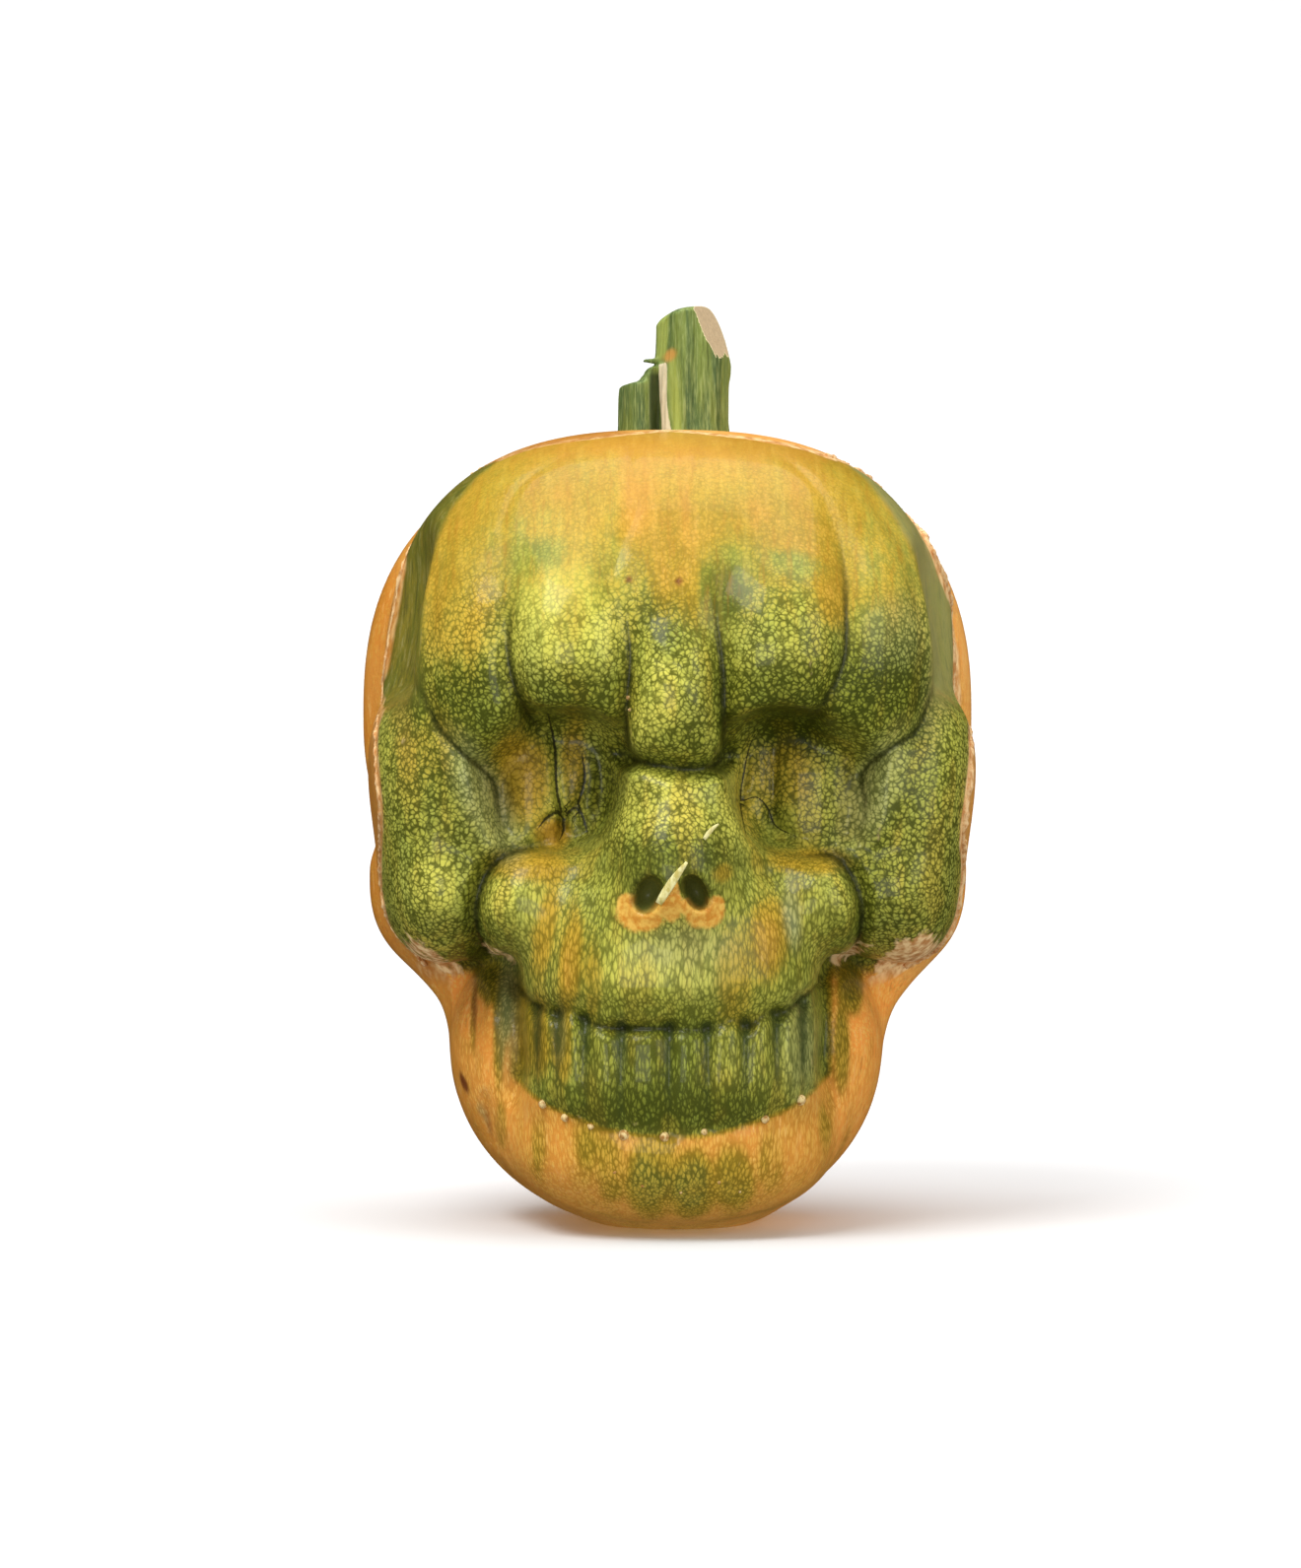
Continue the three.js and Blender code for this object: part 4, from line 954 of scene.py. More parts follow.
def skin_material(settings):
    """Netted skin from green to orange, with its bloom, creases, rubbed flesh and cork."""
    paint = Paint("Pumpkin Skin")
    place = paint.place()
    ripe, light, dull, deep = (paint.tint(name) for name in ("ripe", "light", "dull", "deep"))
    streak, crisp, cork, bare = (paint.tint(name) for name in ("streak", "crisp", "cork", "bare"))
    crease, tooth, brown, seam = (paint.tint(name) for name in ("crease", "tooth", "brown", "seam"))
    gap, split, fold, tuck = (paint.tint(name) for name in ("gap", "split", "fold", "tuck"))
    hollow_shade, nostril, temple, rim = (paint.tint(name) for name in ("hollow_shade", "nostril", "temple", "rim"))
    hue = SKIN_HUES
    skin_colour = None

    def lay(share, over, way="MIX"):
        """Another colour over the skin so far."""
        nonlocal skin_colour
        skin_colour = paint.mixed(share, skin_colour, over, way)

    def lay_lines(pattern, where, *lines):
        """Lines where a pattern goes from low to high: low, high, how much, colour."""
        for low, high, amount, name in lines:
            lay(paint.step(pattern, low, high) * where * amount, hue[name])

    # wide unevenness that breaks up the edges of every tint
    drawn = paint.stretched(place, (1, 1, 0.3))
    wide = paint.noise(drawn, 7, 3, 0.6)
    broad = paint.noise(place, 16, 2, 0.5)
    bands = paint.noise(paint.stretched(place, (1, 0.08, 0.08)), 6.5, 3, 0.6)
    threads = paint.noise(paint.stretched(place, (1, 0.12, 0.12)), 2.2, 4, 0.65)
    fine = paint.noise(place, 0.8, 2, 0.6)
    grain = paint.noise(paint.stretched(place, (1, 1, 0.16)), 1.8, 4, 0.65)

    # the net's spots and lines, and how ripe the skin is
    spots = skin_net(paint, place, drawn, settings.spot_size / MM, streak)
    spots = spots + (fine - 0.5) * 0.15 + (light - 0.5) * 0.35 - deep * 0.2
    spots = paint.step(spots, -0.05, 1.0)
    open_top = (1 - crisp) * (1 - temple) * 1.8
    ripe = ripe + (wide - 0.5) * 0.4 + (broad - 0.5) * 0.3 + (spots - 0.5) * 0.15
    ripe = (ripe + (bands - 0.5) * open_top * 0.7).clamped()
    spots = (spots - 0.5) * crisp * (0.92 - streak * 0.2) + 0.5

    warm = paint.noise(drawn, 8.0, 2, 0.5)
    spot_colour = paint.mixed(light, hue["dark green spot"], hue["light green spot"])
    spot_colour = paint.mixed(paint.step(warm, 0.50, 0.66) * 0.35, spot_colour, hue["warm spot"])
    spot_colour = paint.mixed(paint.step(warm, 0.47, 0.34) * 0.3, spot_colour, hue["cool spot"])
    spot_colour = paint.mixed(paint.step(ripe, 0.05, 0.6), spot_colour, hue["turning spot"])
    spot_colour = paint.mixed(paint.step(ripe, 0.55, 1.0), spot_colour,
                              paint.mixed(light, settings.ripe_light, settings.gold))
    line_colour = paint.mixed(light, settings.green_dark, hue["light green line"])
    line_colour = paint.mixed(paint.step(warm, 0.50, 0.66) * 0.3, line_colour, hue["warm line"])
    line_colour = paint.mixed(paint.step(ripe, 0.1, 0.6), line_colour, hue["turning line"])
    line_colour = paint.mixed(paint.step(ripe, 0.5, 1.0), line_colour,
                              paint.mixed(light, settings.ripe_deep, hue["gold line"]))
    skin_colour = paint.mixed(spots, line_colour, spot_colour)

    # duller skin, partly painted shade; random clouds; and painted shade in hollows
    lay(deep, DULL_AND_SHADE, "MULTIPLY")
    clouds = paint.noise(paint.stretched(place, (1, 1, 0.6)), 22, 2, 0.5)
    lay(paint.step(clouds, 0.52, 0.34) * 0.4 * (1 - ripe), CLOUDED, "MULTIPLY")
    # painted shade in the hollows, less on the orange skin
    lay(paint.step(hollow_shade, 0.1, 0.75) * 0.62 * (1 - paint.step(ripe, 0.7, 1.0) * 0.6), SHADE_IN_HOLLOWS, "MULTIPLY")

    # scratches and paler streaks drawn up the orange skin
    orange = paint.step(ripe, 0.7, 1.0) * (1 - light)
    lay_lines(grain, orange, (0.55, 0.68, 0.6, "scratch"), (0.45, 0.32, 0.5, "pale streak"))

    # fine lines drawn up the smooth temples, and fainter ones over the forehead
    lay_lines(grain, temple, (0.52, 0.66, 0.6, "temple line"), (0.47, 0.34, 0.4, "temple streak"))
    lay_lines(threads, open_top * (1 - orange), (0.5, 0.68, 0.36, "forehead line"),
              (0.5, 0.32, 0.12, "forehead streak"))

    # grey-blue bloom, smoother than the net; at the right temple and outer brow it is partly a painted
    # reflection
    bloom = (dull * (wide * 0.9 + 0.4)).clamped()
    lay(bloom * 0.8, paint.mixed(spots, hue["bloom line"], hue["bloom"]))

    # dark green at the bottom of the creases, in the cracks, along the folds and between the teeth: partly
    # the skin's own dark green, partly painted shade
    lay(paint.step(crease, 0.25, 1.0) * 0.4 * (1 - paint.step(ripe, 0.6, 1.0) * 0.6), hue["crease"])
    lay(paint.step(tooth, 0.25, 0.9) * 0.75, hue["tooth gap"])
    width = split * (0.4 + wide * 0.4)
    crack = paint.step(gap.size() + (fine - 0.5) * 0.5, width, width * 0.35) * paint.step(split, 0.1, 0.3)
    lay(crack * 0.9, hue["crack"])
    line = paint.step(fold.size() + (wide - 0.5) * 1.5, 1.4, 0.1) * paint.step(tuck, 0.2, 0.9)
    lay(line * 0.8 * (1 - paint.step(ripe, 0.7, 1.0) * 0.7), hue["fold"])

    # skin rubbed bare around the nostrils
    rubbed = paint.step(bare + (wide - 0.5) * 0.5 + (fine - 0.5) * 0.3, 0.34, 0.7)
    lay(rubbed, paint.mixed(paint.step(paint.noise(place, 2.2, 3, 0.6), 0.35, 0.65), hue["deep flesh"],
                            hue["flesh"]))
    lay(nostril, hue["nostril"])

    # tan cork under the cheeks, and along the seam of the mould
    lumps = paint.noise(paint.stretched(place, (1, 1, 0.5), (0, 0.5, 0)), 2.6, 3, 0.5)
    ridge = paint.step(seam.size() + (wide - 0.5) * 5.0, 4.6, 3.2) * rim
    scar = paint.step(cork + (wide - 0.5) * 1.4 + (lumps - 0.5) * 1.0, 0.35, 0.75)
    cork_colour = paint.mixed(paint.step(lumps, 0.35, 0.65), hue["deep cork"], hue["cork"])
    lay(scar, cork_colour)
    lay(ridge * 0.9 * (1 - deep * 0.6), cork_colour)
    worn = paint.step(seam, -2.0, -6.0) * paint.step(seam, -20.0, -8.0) * rim
    lay(worn * (wide * 0.9) * (1 - deep * 0.7), hue["worn"])
    # painted shade along the seam, where the skin is darker
    lay(paint.step(seam, 8.0, 2.0) * deep * rim, SHADED, "MULTIPLY")
    lay(brown * 0.9, hue["brown"])

    relief = spots * 0.35 + fine * 0.4 + scar * lumps
    rough = 0.34 + scar * 0.35 + (broad - 0.5) * 0.12
    return paint.wear(Base_Color=skin_colour, Roughness=rough, Normal=paint.raised(relief, 0.25),
                      Specular_IOR_Level=0.16, Coat_Weight=0.14, Coat_Roughness=0.07)


def placed(points):
    """Points in millimetres over the rounded bottom, in the frame's metres."""
    return (np.asarray(points, float) - (0, 0, FOOT_FLAT)) * MM


def read(items, name, across=1, kind=float):
    """A value, or a row of values, of each of a mesh's items."""
    found = np.empty(len(items) * across, kind)
    items.foreach_get(name, found)
    return found.reshape(-1, across) if across > 1 else found


def drawn_points(mesh):
    """A mesh's points, in millimetres over the rounded bottom."""
    return read(mesh.vertices, "co", 3) / MM + (0, 0, FOOT_FLAT)


def give(mesh, amounts):
    """The mesh's points get an attribute for each name."""
    for name, values in amounts.items():
        mesh.attributes.new(name, "FLOAT", "POINT").data.foreach_set("value", values)


def mesh_object(name, points, faces, material, edges=()):
    """A smooth piece whose points are given in millimetres over the rounded bottom."""
    mesh = bpy.data.meshes.new(name)
    mesh.from_pydata(placed(points).tolist(), list(edges), [tuple(int(i) for i in face) for face in faces])
    mesh.validate()
    mesh.update()
    mesh.shade_smooth()
    mesh.materials.append(material)
    made = bpy.data.objects.new(name, mesh)
    bpy.context.scene.collection.objects.link(made)
    return made


def together(pieces):
    """The points and faces of several pieces as one list."""
    points, faces = [], []
    for more, more_faces in pieces:
        faces += [tuple(i + len(points) for i in face) for face in more_faces]
        points += more
    return points, faces


# --- cork along the mould's seam, the mould's nubs, and slivers of loose skin

# where the seam's cork starts and ends, and the spacing of the points that its line is drawn through
SEAM_LOW, SEAM_HIGH, SEAM_APART = 79, 233, 4.5
# (across, up, share of the full width) of the nubs left by the mould's air holes: along the
# lower gum, then smaller ones between the brows and on the chin
NUBS = [(-36.7, 42, 1.0), (-30.2, 38.4, .9), (-22.8, 36.1, .7), (-13.3, 33.8, 1.1), (-1.7, 33.3, 1.0),
        (9.6, 34.7, .7), (27.1, 38.1, .9), (37.5, 43.1, 1.2), (-12, 159, .5), (-11.6, 155.5, .4),
        (-8, 19, .35), (3, 17, .35), (14, 20, .35), (-16, 23, .3), (20, 17, .3)]
# (start, end, width, lift off the skin) of slivers of pale skin by the nostrils
SLIVERS = [((-3.4, 100.5), (4.6, 112.3), 2.5, 3.2), ((9.5, 118.7), (13.6, 123), 1.3, 1.2)]


def seam_run(points, triangles, side, way):
    """The line of the mould's seam up one side of the skin."""
    edges, _ = edges_of(triangles)
    a, b = edges.T
    crossing = ((side[a] < 0) != (side[b] < 0)) & (np.sign(points[a, 0]) == way)
    a, b = a[crossing], b[crossing]
    share = side[a] / (side[a] - side[b])
    at = points[a] + (points[b] - points[a]) * share[:, None]
    run = []
    for z in np.arange(SEAM_LOW, SEAM_HIGH, SEAM_APART):
        here = np.abs(at[:, 2] - z) < SEAM_APART / 2
        if here.any():
            run.append(at[here].mean(0))
    return smooth_run(run, 4)


# the face's skin is looked for from in front of the nose backwards, by this step
LOOK_FROM, LOOK_TO, LOOK_STEP = -130.0, -30.0, 0.1


def front_of(x, z):
    """How far forward the skin is, at a place seen from the front."""
    ys = np.arange(LOOK_FROM, LOOK_TO, LOOK_STEP)
    return float(ys[np.argmax(skin(np.array([np.full(len(ys), x), ys, np.full(len(ys), z)])) < 0)])


TUBE_SIDES = 8


def ring_faces(rings, sides):
    """Four-sided faces between rings of points that follow one another."""
    return [(low + k, low + (k + 1) % sides, low + sides + (k + 1) % sides, low + sides + k)
            for low in range(0, (rings - 1) * sides, sides) for k in range(sides)]


def tube(path, widths, thick):
    """A closed tube along a path, wide across and of that thickness front to back."""
    path = np.array(path, float)
    points = []
    for (x, y, z), (dx, _, dz), width in zip(path, np.gradient(path, axis=0), widths):
        length = math.hypot(dx, dz) + 1e-9
        for k in range(TUBE_SIDES):
            a = 2 * math.pi * k / TUBE_SIDES
            wide = width / 2 * math.cos(a)
            points.append((x + dz / length * wide, y + min(thick, width) / 2 * math.sin(a),
                           z - dx / length * wide))
    last = (len(path) - 1) * TUBE_SIDES
    ends = [tuple(range(TUBE_SIDES))[::-1], tuple(last + k for k in range(TUBE_SIDES))]
    return points, ring_faces(len(path), TUBE_SIDES) + ends


def sliver(start, end, width, lift):
    """A pointed sliver of skin, lying at its start and lifted at its end."""
    path, widths = [], []
    foot = min(front_of(*start), front_of(*end)) - 0.3
    for t in np.linspace(0, 1, 9):
        x, z = start[0] + (end[0] - start[0]) * t, start[1] + (end[1] - start[1]) * t
        path.append((x, foot - lift * t, z + 0.5 * math.sin(math.pi * t)))
        widths.append(width * (0.25 + 0.75 * math.sin(math.pi * (0.25 + 0.72 * t))))
    return tube(path, widths, 0.5)


def plain_material(name, dark, pale, lump, roughness=0.6):
    """Two colours in lumps of that many millimetres."""
    paint = Paint(name)
    place = paint.place()
    lumps = paint.noise(paint.stretched(place, (1, 1, 0.5)), lump, 3, 0.6)
    both_colours = paint.mixed(paint.step(lumps, 0.35, 0.62), dark, pale)
    return paint.wear(Base_Color=both_colours, Roughness=roughness,
                      Normal=paint.raised(lumps, 0.2), Specular_IOR_Level=0.25)


# --- the stem: a ridged stalk with a torn stub at its left and a slanted cut

STALK = {"centre": (6.2, 8.0), "half": (11.7, 13.0), "top": 280.6, "ridges": 7, "depth": 0.045,
         "phase": 0.2, "lean": 0.0, "rounding": 1.8}
STUB = {"centre": (-8.8, 6.5), "half": (6.3, 10.5), "top": 258.2, "ridges": 4, "depth": 0.05,
        "phase": 0.6, "lean": 0.02, "rounding": 1.2}
STEM_FOOT = 237.6
COLUMN_SIDES, COLUMN_RINGS = 96, 44
STEM_VOXEL = 0.5
# the torn fibre that sticks out by the bite
FIBRE = [(-3.5, 2, 265.0), (-6.3, 0.8, 265.6), (-8.8, 0.4, 266.8)]
FIBRE_WIDTHS, FIBRE_THICK = (3.4, 2.0, 1.2), 1.6
# how the stub's top curves up into the stalk: (across, half-width, top)
BITE = [(-7.2, 3.2, 259.6), (-6.4, 2.6, 261.4), (-5.8, 2.2, 263.6)]
# the slanted cut: a point on it, and the way that it faces
CUT_POINT = (12.2, -3.0, 268.6)
CUT_WAY = (0.84, -0.42, 0.35)


def column(centre, half, top, ridges, depth, phase, lean, rounding):
    """A closed ridged column with a rounded top."""
    rings = []
    for i in range(COLUMN_RINGS + 1):
        z = STEM_FOOT + (top - STEM_FOOT) * (i / COLUMN_RINGS)
        rest = top - z
        round_off = math.sqrt(max(0.0, 1 - max(0.0, 1 - rest / rounding) ** 2)) if rest < rounding else 1.0
        flare = 1 + 0.09 * max(0.0, 1 - (z - STEM_FOOT) / 9) ** 2
        ring = []
        for k in range(COLUMN_SIDES):
            a = 2 * math.pi * k / COLUMN_SIDES
            r = (1 + depth * math.cos(ridges * a + phase)) * flare * max(round_off, 0.06)
            ring.append((centre[0] + half[0] * r * math.cos(a) + lean * (z - STEM_FOOT),
                         centre[1] + half[1] * r * math.sin(a), z))
        rings.append(ring)
    points = [p for ring in rings for p in ring]
    last, foot, tip = COLUMN_RINGS * COLUMN_SIDES, len(points), len(points) + 1
    points += [(centre[0], centre[1], STEM_FOOT), tuple(np.mean(rings[-1], 0))]
    sides = [(k, (k + 1) % COLUMN_SIDES) for k in range(COLUMN_SIDES)]
    faces = ring_faces(COLUMN_RINGS + 1, COLUMN_SIDES) + [(j, k, foot) for k, j in sides]
    return points, faces + [(last + k, last + j, tip) for k, j in sides]


def applied(made):
    """The object's mesh with its modifiers applied, and the modifiers removed."""
    mesh = bpy.data.meshes.new_from_object(made.evaluated_get(bpy.context.evaluated_depsgraph_get()))
    made.modifiers.clear()
    old, made.data = made.data, mesh
    bpy.data.meshes.remove(old)
    return mesh


def stem_points(points):
    """The stem's points with the slope of its top and its cut, and where the cut's scar is."""
    x, y, z = points.T
    # towards its top it slopes down at both sides and leans over the bite
    above = ease((z - 251) / 28)
    z = z - above * (0.016 * np.maximum(10.5 - x, 0) ** 2 + 0.25 * np.maximum(x - 11, 0) ** 2)
    x = x + above * 1.6 * ease((3 - x) / 8)
    points = np.stack([x, y, z], 1)
    # what stands past the slanted cut is pressed back onto it
    way = np.array(CUT_WAY) / np.linalg.norm(CUT_WAY)
    over = (points - CUT_POINT) @ way
    points = points - np.maximum(over, 0)[:, None] * way
    scar = ease((over + 0.25) / 0.4)
    return points, scar


def stem_marks(points):
    """Where the stem has its pale stripe, lighter edges, rusty spot, and the shade painted in the groove
    between the stub and the stalk.
    """
    x, y, z = points.T
    front = ease((8 - y) / 6)
    stripe_x = -2.3 + (263 - z) * 0.075
    beside_stripe = ease(1.6 - np.abs(x - stripe_x - 3.0) / 1.2) * ease((266 - z) / 3)
    above_bite = ease(1.6 - np.abs(x + 3.3) / 1.6) * ease((z - 264) / 3)
    return {
        "stripe": ease(1.7 - np.abs(x - stripe_x) / 1.1) * front * ease((264.5 - z) / 2),
        "edge": np.maximum(beside_stripe, above_bite) * front + 0.5 * ease((x - 15) / 3),
        "rust": ease(1.5 - np.hypot((x + 0.2) / 2.2, (z - 265.6) / 2.0)) * front,
        "dark": ease(1.7 - np.abs(x + 4.4) / 1.4) * front * ease((262 - z) / 3),
    }


def stem_fibres(points):
    """Fine ridges up the stem, from -1 to 1."""
    x, y, z = points.T
    around = np.arctan2(y - 8, x - 6)
    return np.array([noise.noise((math.cos(a) * 9, math.sin(a) * 9, h * 0.03))
                     for a, h in zip(around, z)])


def stem_material(settings):
    """Ridged green rind, with a pale stripe and a corky cut."""
    paint = Paint("Stem Rind")
    place = paint.place()
    drawn = paint.stretched(place, (1, 1, 0.1))
    bands = paint.noise(drawn, 3.4, 2, 0.5)
    lines = paint.noise(drawn, 0.7, 3, 0.65)
    fine = paint.noise(paint.stretched(place, (1, 1, 0.25)), 0.6, 2, 0.6)
    blot = paint.noise(place, 4.0, 3, 0.6)
    scar, stripe, edge = paint.tint("scar"), paint.tint("stripe"), paint.tint("edge")
    rust, dark = paint.tint("rust"), paint.tint("dark")
    green = paint.mixed(paint.step(bands, 0.36, 0.64) * 0.8, settings.green, settings.yellow)
    green = paint.mixed(paint.step(lines, 0.45, 0.68) * 0.6, green, linear(158, 172, 104))
    green = paint.mixed(paint.step(lines, 0.48, 0.30) * 0.5, green, linear(62, 76, 26))
    green = paint.mixed((edge + (blot - 0.5) * 0.4).clamped() * 0.6, green, linear(170, 182, 84))
    # painted shade in the groove between the stub and the stalk
    green = paint.mixed(dark * 0.85, green, linear(40, 54, 20))
    cream = paint.mixed(fine, linear(186, 172, 134), linear(226, 216, 184))
    green = paint.mixed(paint.step(stripe + (fine - 0.5) * 0.3, 0.4, 0.6), green, cream)
    green = paint.mixed(rust * 0.8, green, linear(206, 150, 70))
    tan = paint.mixed(paint.noise(place, 1.0, 4, 0.7), linear(164, 136, 104), linear(232, 208, 164))
    tan = paint.mixed(paint.step(scar, 0.95, 0.6), tan, linear(240, 228, 176))
    whole = paint.mixed(paint.step(scar + (fine - 0.5) * 0.3, 0.35, 0.55), green, tan)
    relief = lines * 0.6 + fine * 0.3
    return paint.wear(Base_Color=whole, Roughness=0.5, Normal=paint.raised(relief, 0.45),
                      Specular_IOR_Level=0.3)


class FruitSettings(bpy.types.PropertyGroup):
    rib_depth: FloatProperty(name="Rib Depth", description="Depth of the grooves on the back",
                             default=RIB_DEPTH * MM, min=0, max=0.006, unit="LENGTH")
    spot_size: FloatProperty(name="Spot Size", description="Width of a spot between the net's lines",
                             default=0.00145, min=0.001, max=0.01, unit="LENGTH")
    ripe_light: FloatVectorProperty(name="Ripe, Light", description="Lighter orange of ripe skin",
                                    default=linear(255, 200, 96)[:3], min=0, max=1, subtype="COLOR")
    gold: FloatVectorProperty(name="Gold", description="Golden skin over the forehead",
                              default=linear(198, 152, 46)[:3], min=0, max=1, subtype="COLOR")
    ripe_deep: FloatVectorProperty(name="Ripe, Deep", description="Deeper orange of ripe skin",
                                   default=linear(255, 160, 66)[:3], min=0, max=1, subtype="COLOR")
    green_dark: FloatVectorProperty(name="Dark Green", description="The net's lines on green skin",
                                    default=linear(56, 62, 14)[:3], min=0, max=1, subtype="COLOR")


class CorkSettings(bpy.types.PropertyGroup):
    ridge_width: FloatProperty(name="Ridge Width", description="Width of the cork along the seam",
                               default=0.0018, min=0.0005, max=0.005, unit="LENGTH")
    nub_size: FloatProperty(name="Nub Size", description="Width of a nub left by the mould",
                            default=0.0028, min=0.0005, max=0.005, unit="LENGTH")
    cork_pale: FloatVectorProperty(name="Pale Cork", description="Lighter colour of the cork",
                                   default=linear(236, 200, 146)[:3], min=0, max=1, subtype="COLOR")
    cork_dark: FloatVectorProperty(name="Dark Cork", description="Darker colour of the cork",
                                   default=linear(196, 138, 78)[:3], min=0, max=1, subtype="COLOR")


class StemSettings(bpy.types.PropertyGroup):
    ridge_depth: FloatProperty(name="Ridge Depth", description="Depth of the fine ridges up the stem",
                               default=0.0009, min=0, max=0.003, unit="LENGTH")
    green: FloatVectorProperty(name="Green", description="Darker green of the stem",
                               default=linear(80, 104, 54)[:3], min=0, max=1, subtype="COLOR")
    yellow: FloatVectorProperty(name="Yellow Green", description="Lighter green of the stem",
                                default=linear(128, 144, 62)[:3], min=0, max=1, subtype="COLOR")


class StageSettings(bpy.types.PropertyGroup):
    floor: FloatVectorProperty(name="Floor", description="Colour of the floor and backdrop",
                               default=(0.86, 0.86, 0.86), min=0, max=1, subtype="COLOR")
    key: FloatProperty(name="Key Light", description="Power of the large light at the upper left",
                       default=15.5, min=0, unit="POWER")
    fill: FloatProperty(name="Fill Light", description="Power of the light at the right",
                        default=7.0, min=0, unit="POWER")


class SKULLPUMPKIN_OT_fruit(bpy.types.Operator):
    """Grow the fruit with its netted skin"""
    bl_idname = "skull_pumpkin.fruit"
    bl_label = "Grow Fruit"

    def execute(self, context):
        settings = context.scene.skull_fruit
        points, triangles = grown_skin(settings.rib_depth / MM)
        skin_tints = tints(points, triangles)
        points[:, 2] = np.maximum(points[:, 2], FOOT_FLAT)
        fruit = mesh_object("pumpkin_skin", points, triangles, skin_material(settings))
        give(fruit.data, skin_tints)
        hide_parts("pumpkin_body")
        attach(fruit, "root")
        return {"FINISHED"}


class SKULLPUMPKIN_OT_cork(bpy.types.Operator):
    """Lay the cork along the seam, the nubs along the gum and the slivers by the nostrils"""
    bl_idname = "skull_pumpkin.cork"
    bl_label = "Lay Cork"

    def execute(self, context):
        settings = context.scene.skull_cork
        skin_mesh = bpy.data.objects["pumpkin_skin"].data
        points = drawn_points(skin_mesh)
        triangles = read(skin_mesh.loops, "vertex_index", kind=int).reshape(-1, 3)
        side = read(skin_mesh.attributes["seam"].data, "value")
        cork = plain_material("Seam Cork", settings.cork_dark, settings.cork_pale, 1.6, 0.8)

        run, edges = [], []
        for way in (-1, 1):
            line = seam_run(points, triangles, side, way)
            edges += [(len(run) + i, len(run) + i + 1) for i in range(len(line) - 1)]
            run += [tuple(p) for p in line]
        ridge = mesh_object("seam_cork", run, [], cork, edges=edges)
        tree = Growth("Seam Ridge", {"Width": settings.ridge_width, "Lump Size": 2.4, "Lump Height": 0.8})
        line = tree.node("GeometryNodeMeshToCurve", {}, {"Mesh": tree.given()})
        line = tree.node("GeometryNodeResampleCurve", {"mode": "LENGTH"}, {"Curve": line, "Length": 0.7 * MM})
        place = tree.node("GeometryNodeInputPosition", {}, {})
        chips = tree.noise(place, 7.0, 3, 0.7)
        across = tree.node("ShaderNodeSeparateXYZ", {}, {0: place})
        thick = tree.node("ShaderNodeMapRange", {}, {"Value": across, "From Min": -0.04, "From Max": 0.03,
                                                     "To Min": 0.5, "To Max": 1.0})
        radius = tree.given("Width") * thick * chips.maths("MAXIMUM", chips * 2.0 - 0.4, 0.35)
        ring = tree.node("GeometryNodeCurvePrimitiveCircle", {}, {"Resolution": 7, "Radius": 1.0})
        ridge_mesh = tree.node("GeometryNodeCurveToMesh", {}, {"Curve": line, "Profile Curve": ring,
                                                               "Scale": radius, "Fill Caps": True})
        tree.grown(ridge, ridge_mesh, cork)

        nub = plain_material("Mould Nub", linear(176, 122, 56), linear(240, 214, 150), 1.0, 0.5)
        spots = mesh_object("gum_nubs", [(x, front_of(x, z), z) for x, z, _ in NUBS], [], nub)
        give(spots.data, {"share": [share for _, _, share in NUBS]})
        tree = Growth("Gum Nubs", {"Width": settings.nub_size, "Lump Size": 1.2, "Lump Height": 0.3})
        size = tree.node("GeometryNodeInputNamedAttribute", {"data_type": "FLOAT"}, {"Name": "share"})
        ball = tree.node("GeometryNodeMeshIcoSphere", {}, {"Radius": 1.0, "Subdivisions": 3})
        balls = tree.node("GeometryNodeInstanceOnPoints", {}, {"Points": tree.given(), "Instance": ball,
                                                               "Scale": tree.given("Width") * size * 0.5})
        tree.grown(spots, balls, nub)

        straw = mesh_object("loose_slivers", *together(sliver(*piece) for piece in SLIVERS),
                            plain_material("Dry Skin", linear(206, 190, 104), linear(246, 238, 172), 1.5))
        for made in (ridge, spots, straw):
            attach(made, "root")
        return {"FINISHED"}


class SKULLPUMPKIN_OT_stem(bpy.types.Operator):
    """Grow the ridged stem with its torn stub and slanted cut"""
    bl_idname = "skull_pumpkin.stem"
    bl_label = "Grow Stem"

    def execute(self, context):
        settings = context.scene.skull_stem
        steps = [column((x, 6.5), (half, 9.5), top, 4, 0.03, 0.4, 0.0, 1.6) for x, half, top in BITE]
        points, faces = together([column(**STALK), column(**STUB), tube(FIBRE, FIBRE_WIDTHS, FIBRE_THICK),
                                  *steps])
        stem = mesh_object("stem_rind", points, faces, stem_material(settings))
        remesh = stem.modifiers.new("one skin", "REMESH")
        remesh.mode = "VOXEL"
        remesh.voxel_size = STEM_VOXEL * MM
        mesh = applied(stem)
        points, slope = drawn_points(mesh), read(mesh.vertices, "normal", 3)
        marks = stem_marks(points)
        relief = stem_fibres(points) * settings.ridge_depth / MM + marks["stripe"] * 0.8
        sideways = 1 - np.abs(slope[:, 2])
        points, marks["scar"] = stem_points(points + slope * (sideways * relief)[:, None])
        mesh.vertices.foreach_set("co", placed(points).ravel())
        give(mesh, marks)
        mesh.shade_smooth()
        if not mesh.materials:
            mesh.materials.append(bpy.data.materials["Stem Rind"])
        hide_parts("stem")
        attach(stem, "root")
        return {"FINISHED"}


# the paper: half its width, its near edge, its back, the radius of its bend, and its height
PAPER_HALF, PAPER_FRONT, PAPER_BACK, PAPER_BEND, PAPER_TOP = 6.0, -6.0, 1.3, 0.6, 4.0
BEND_STEPS = 16
FRUIT_MIDDLE, PAPER_MIDDLE = (0, 0, 0.12), (0, 1.3, 0.4)
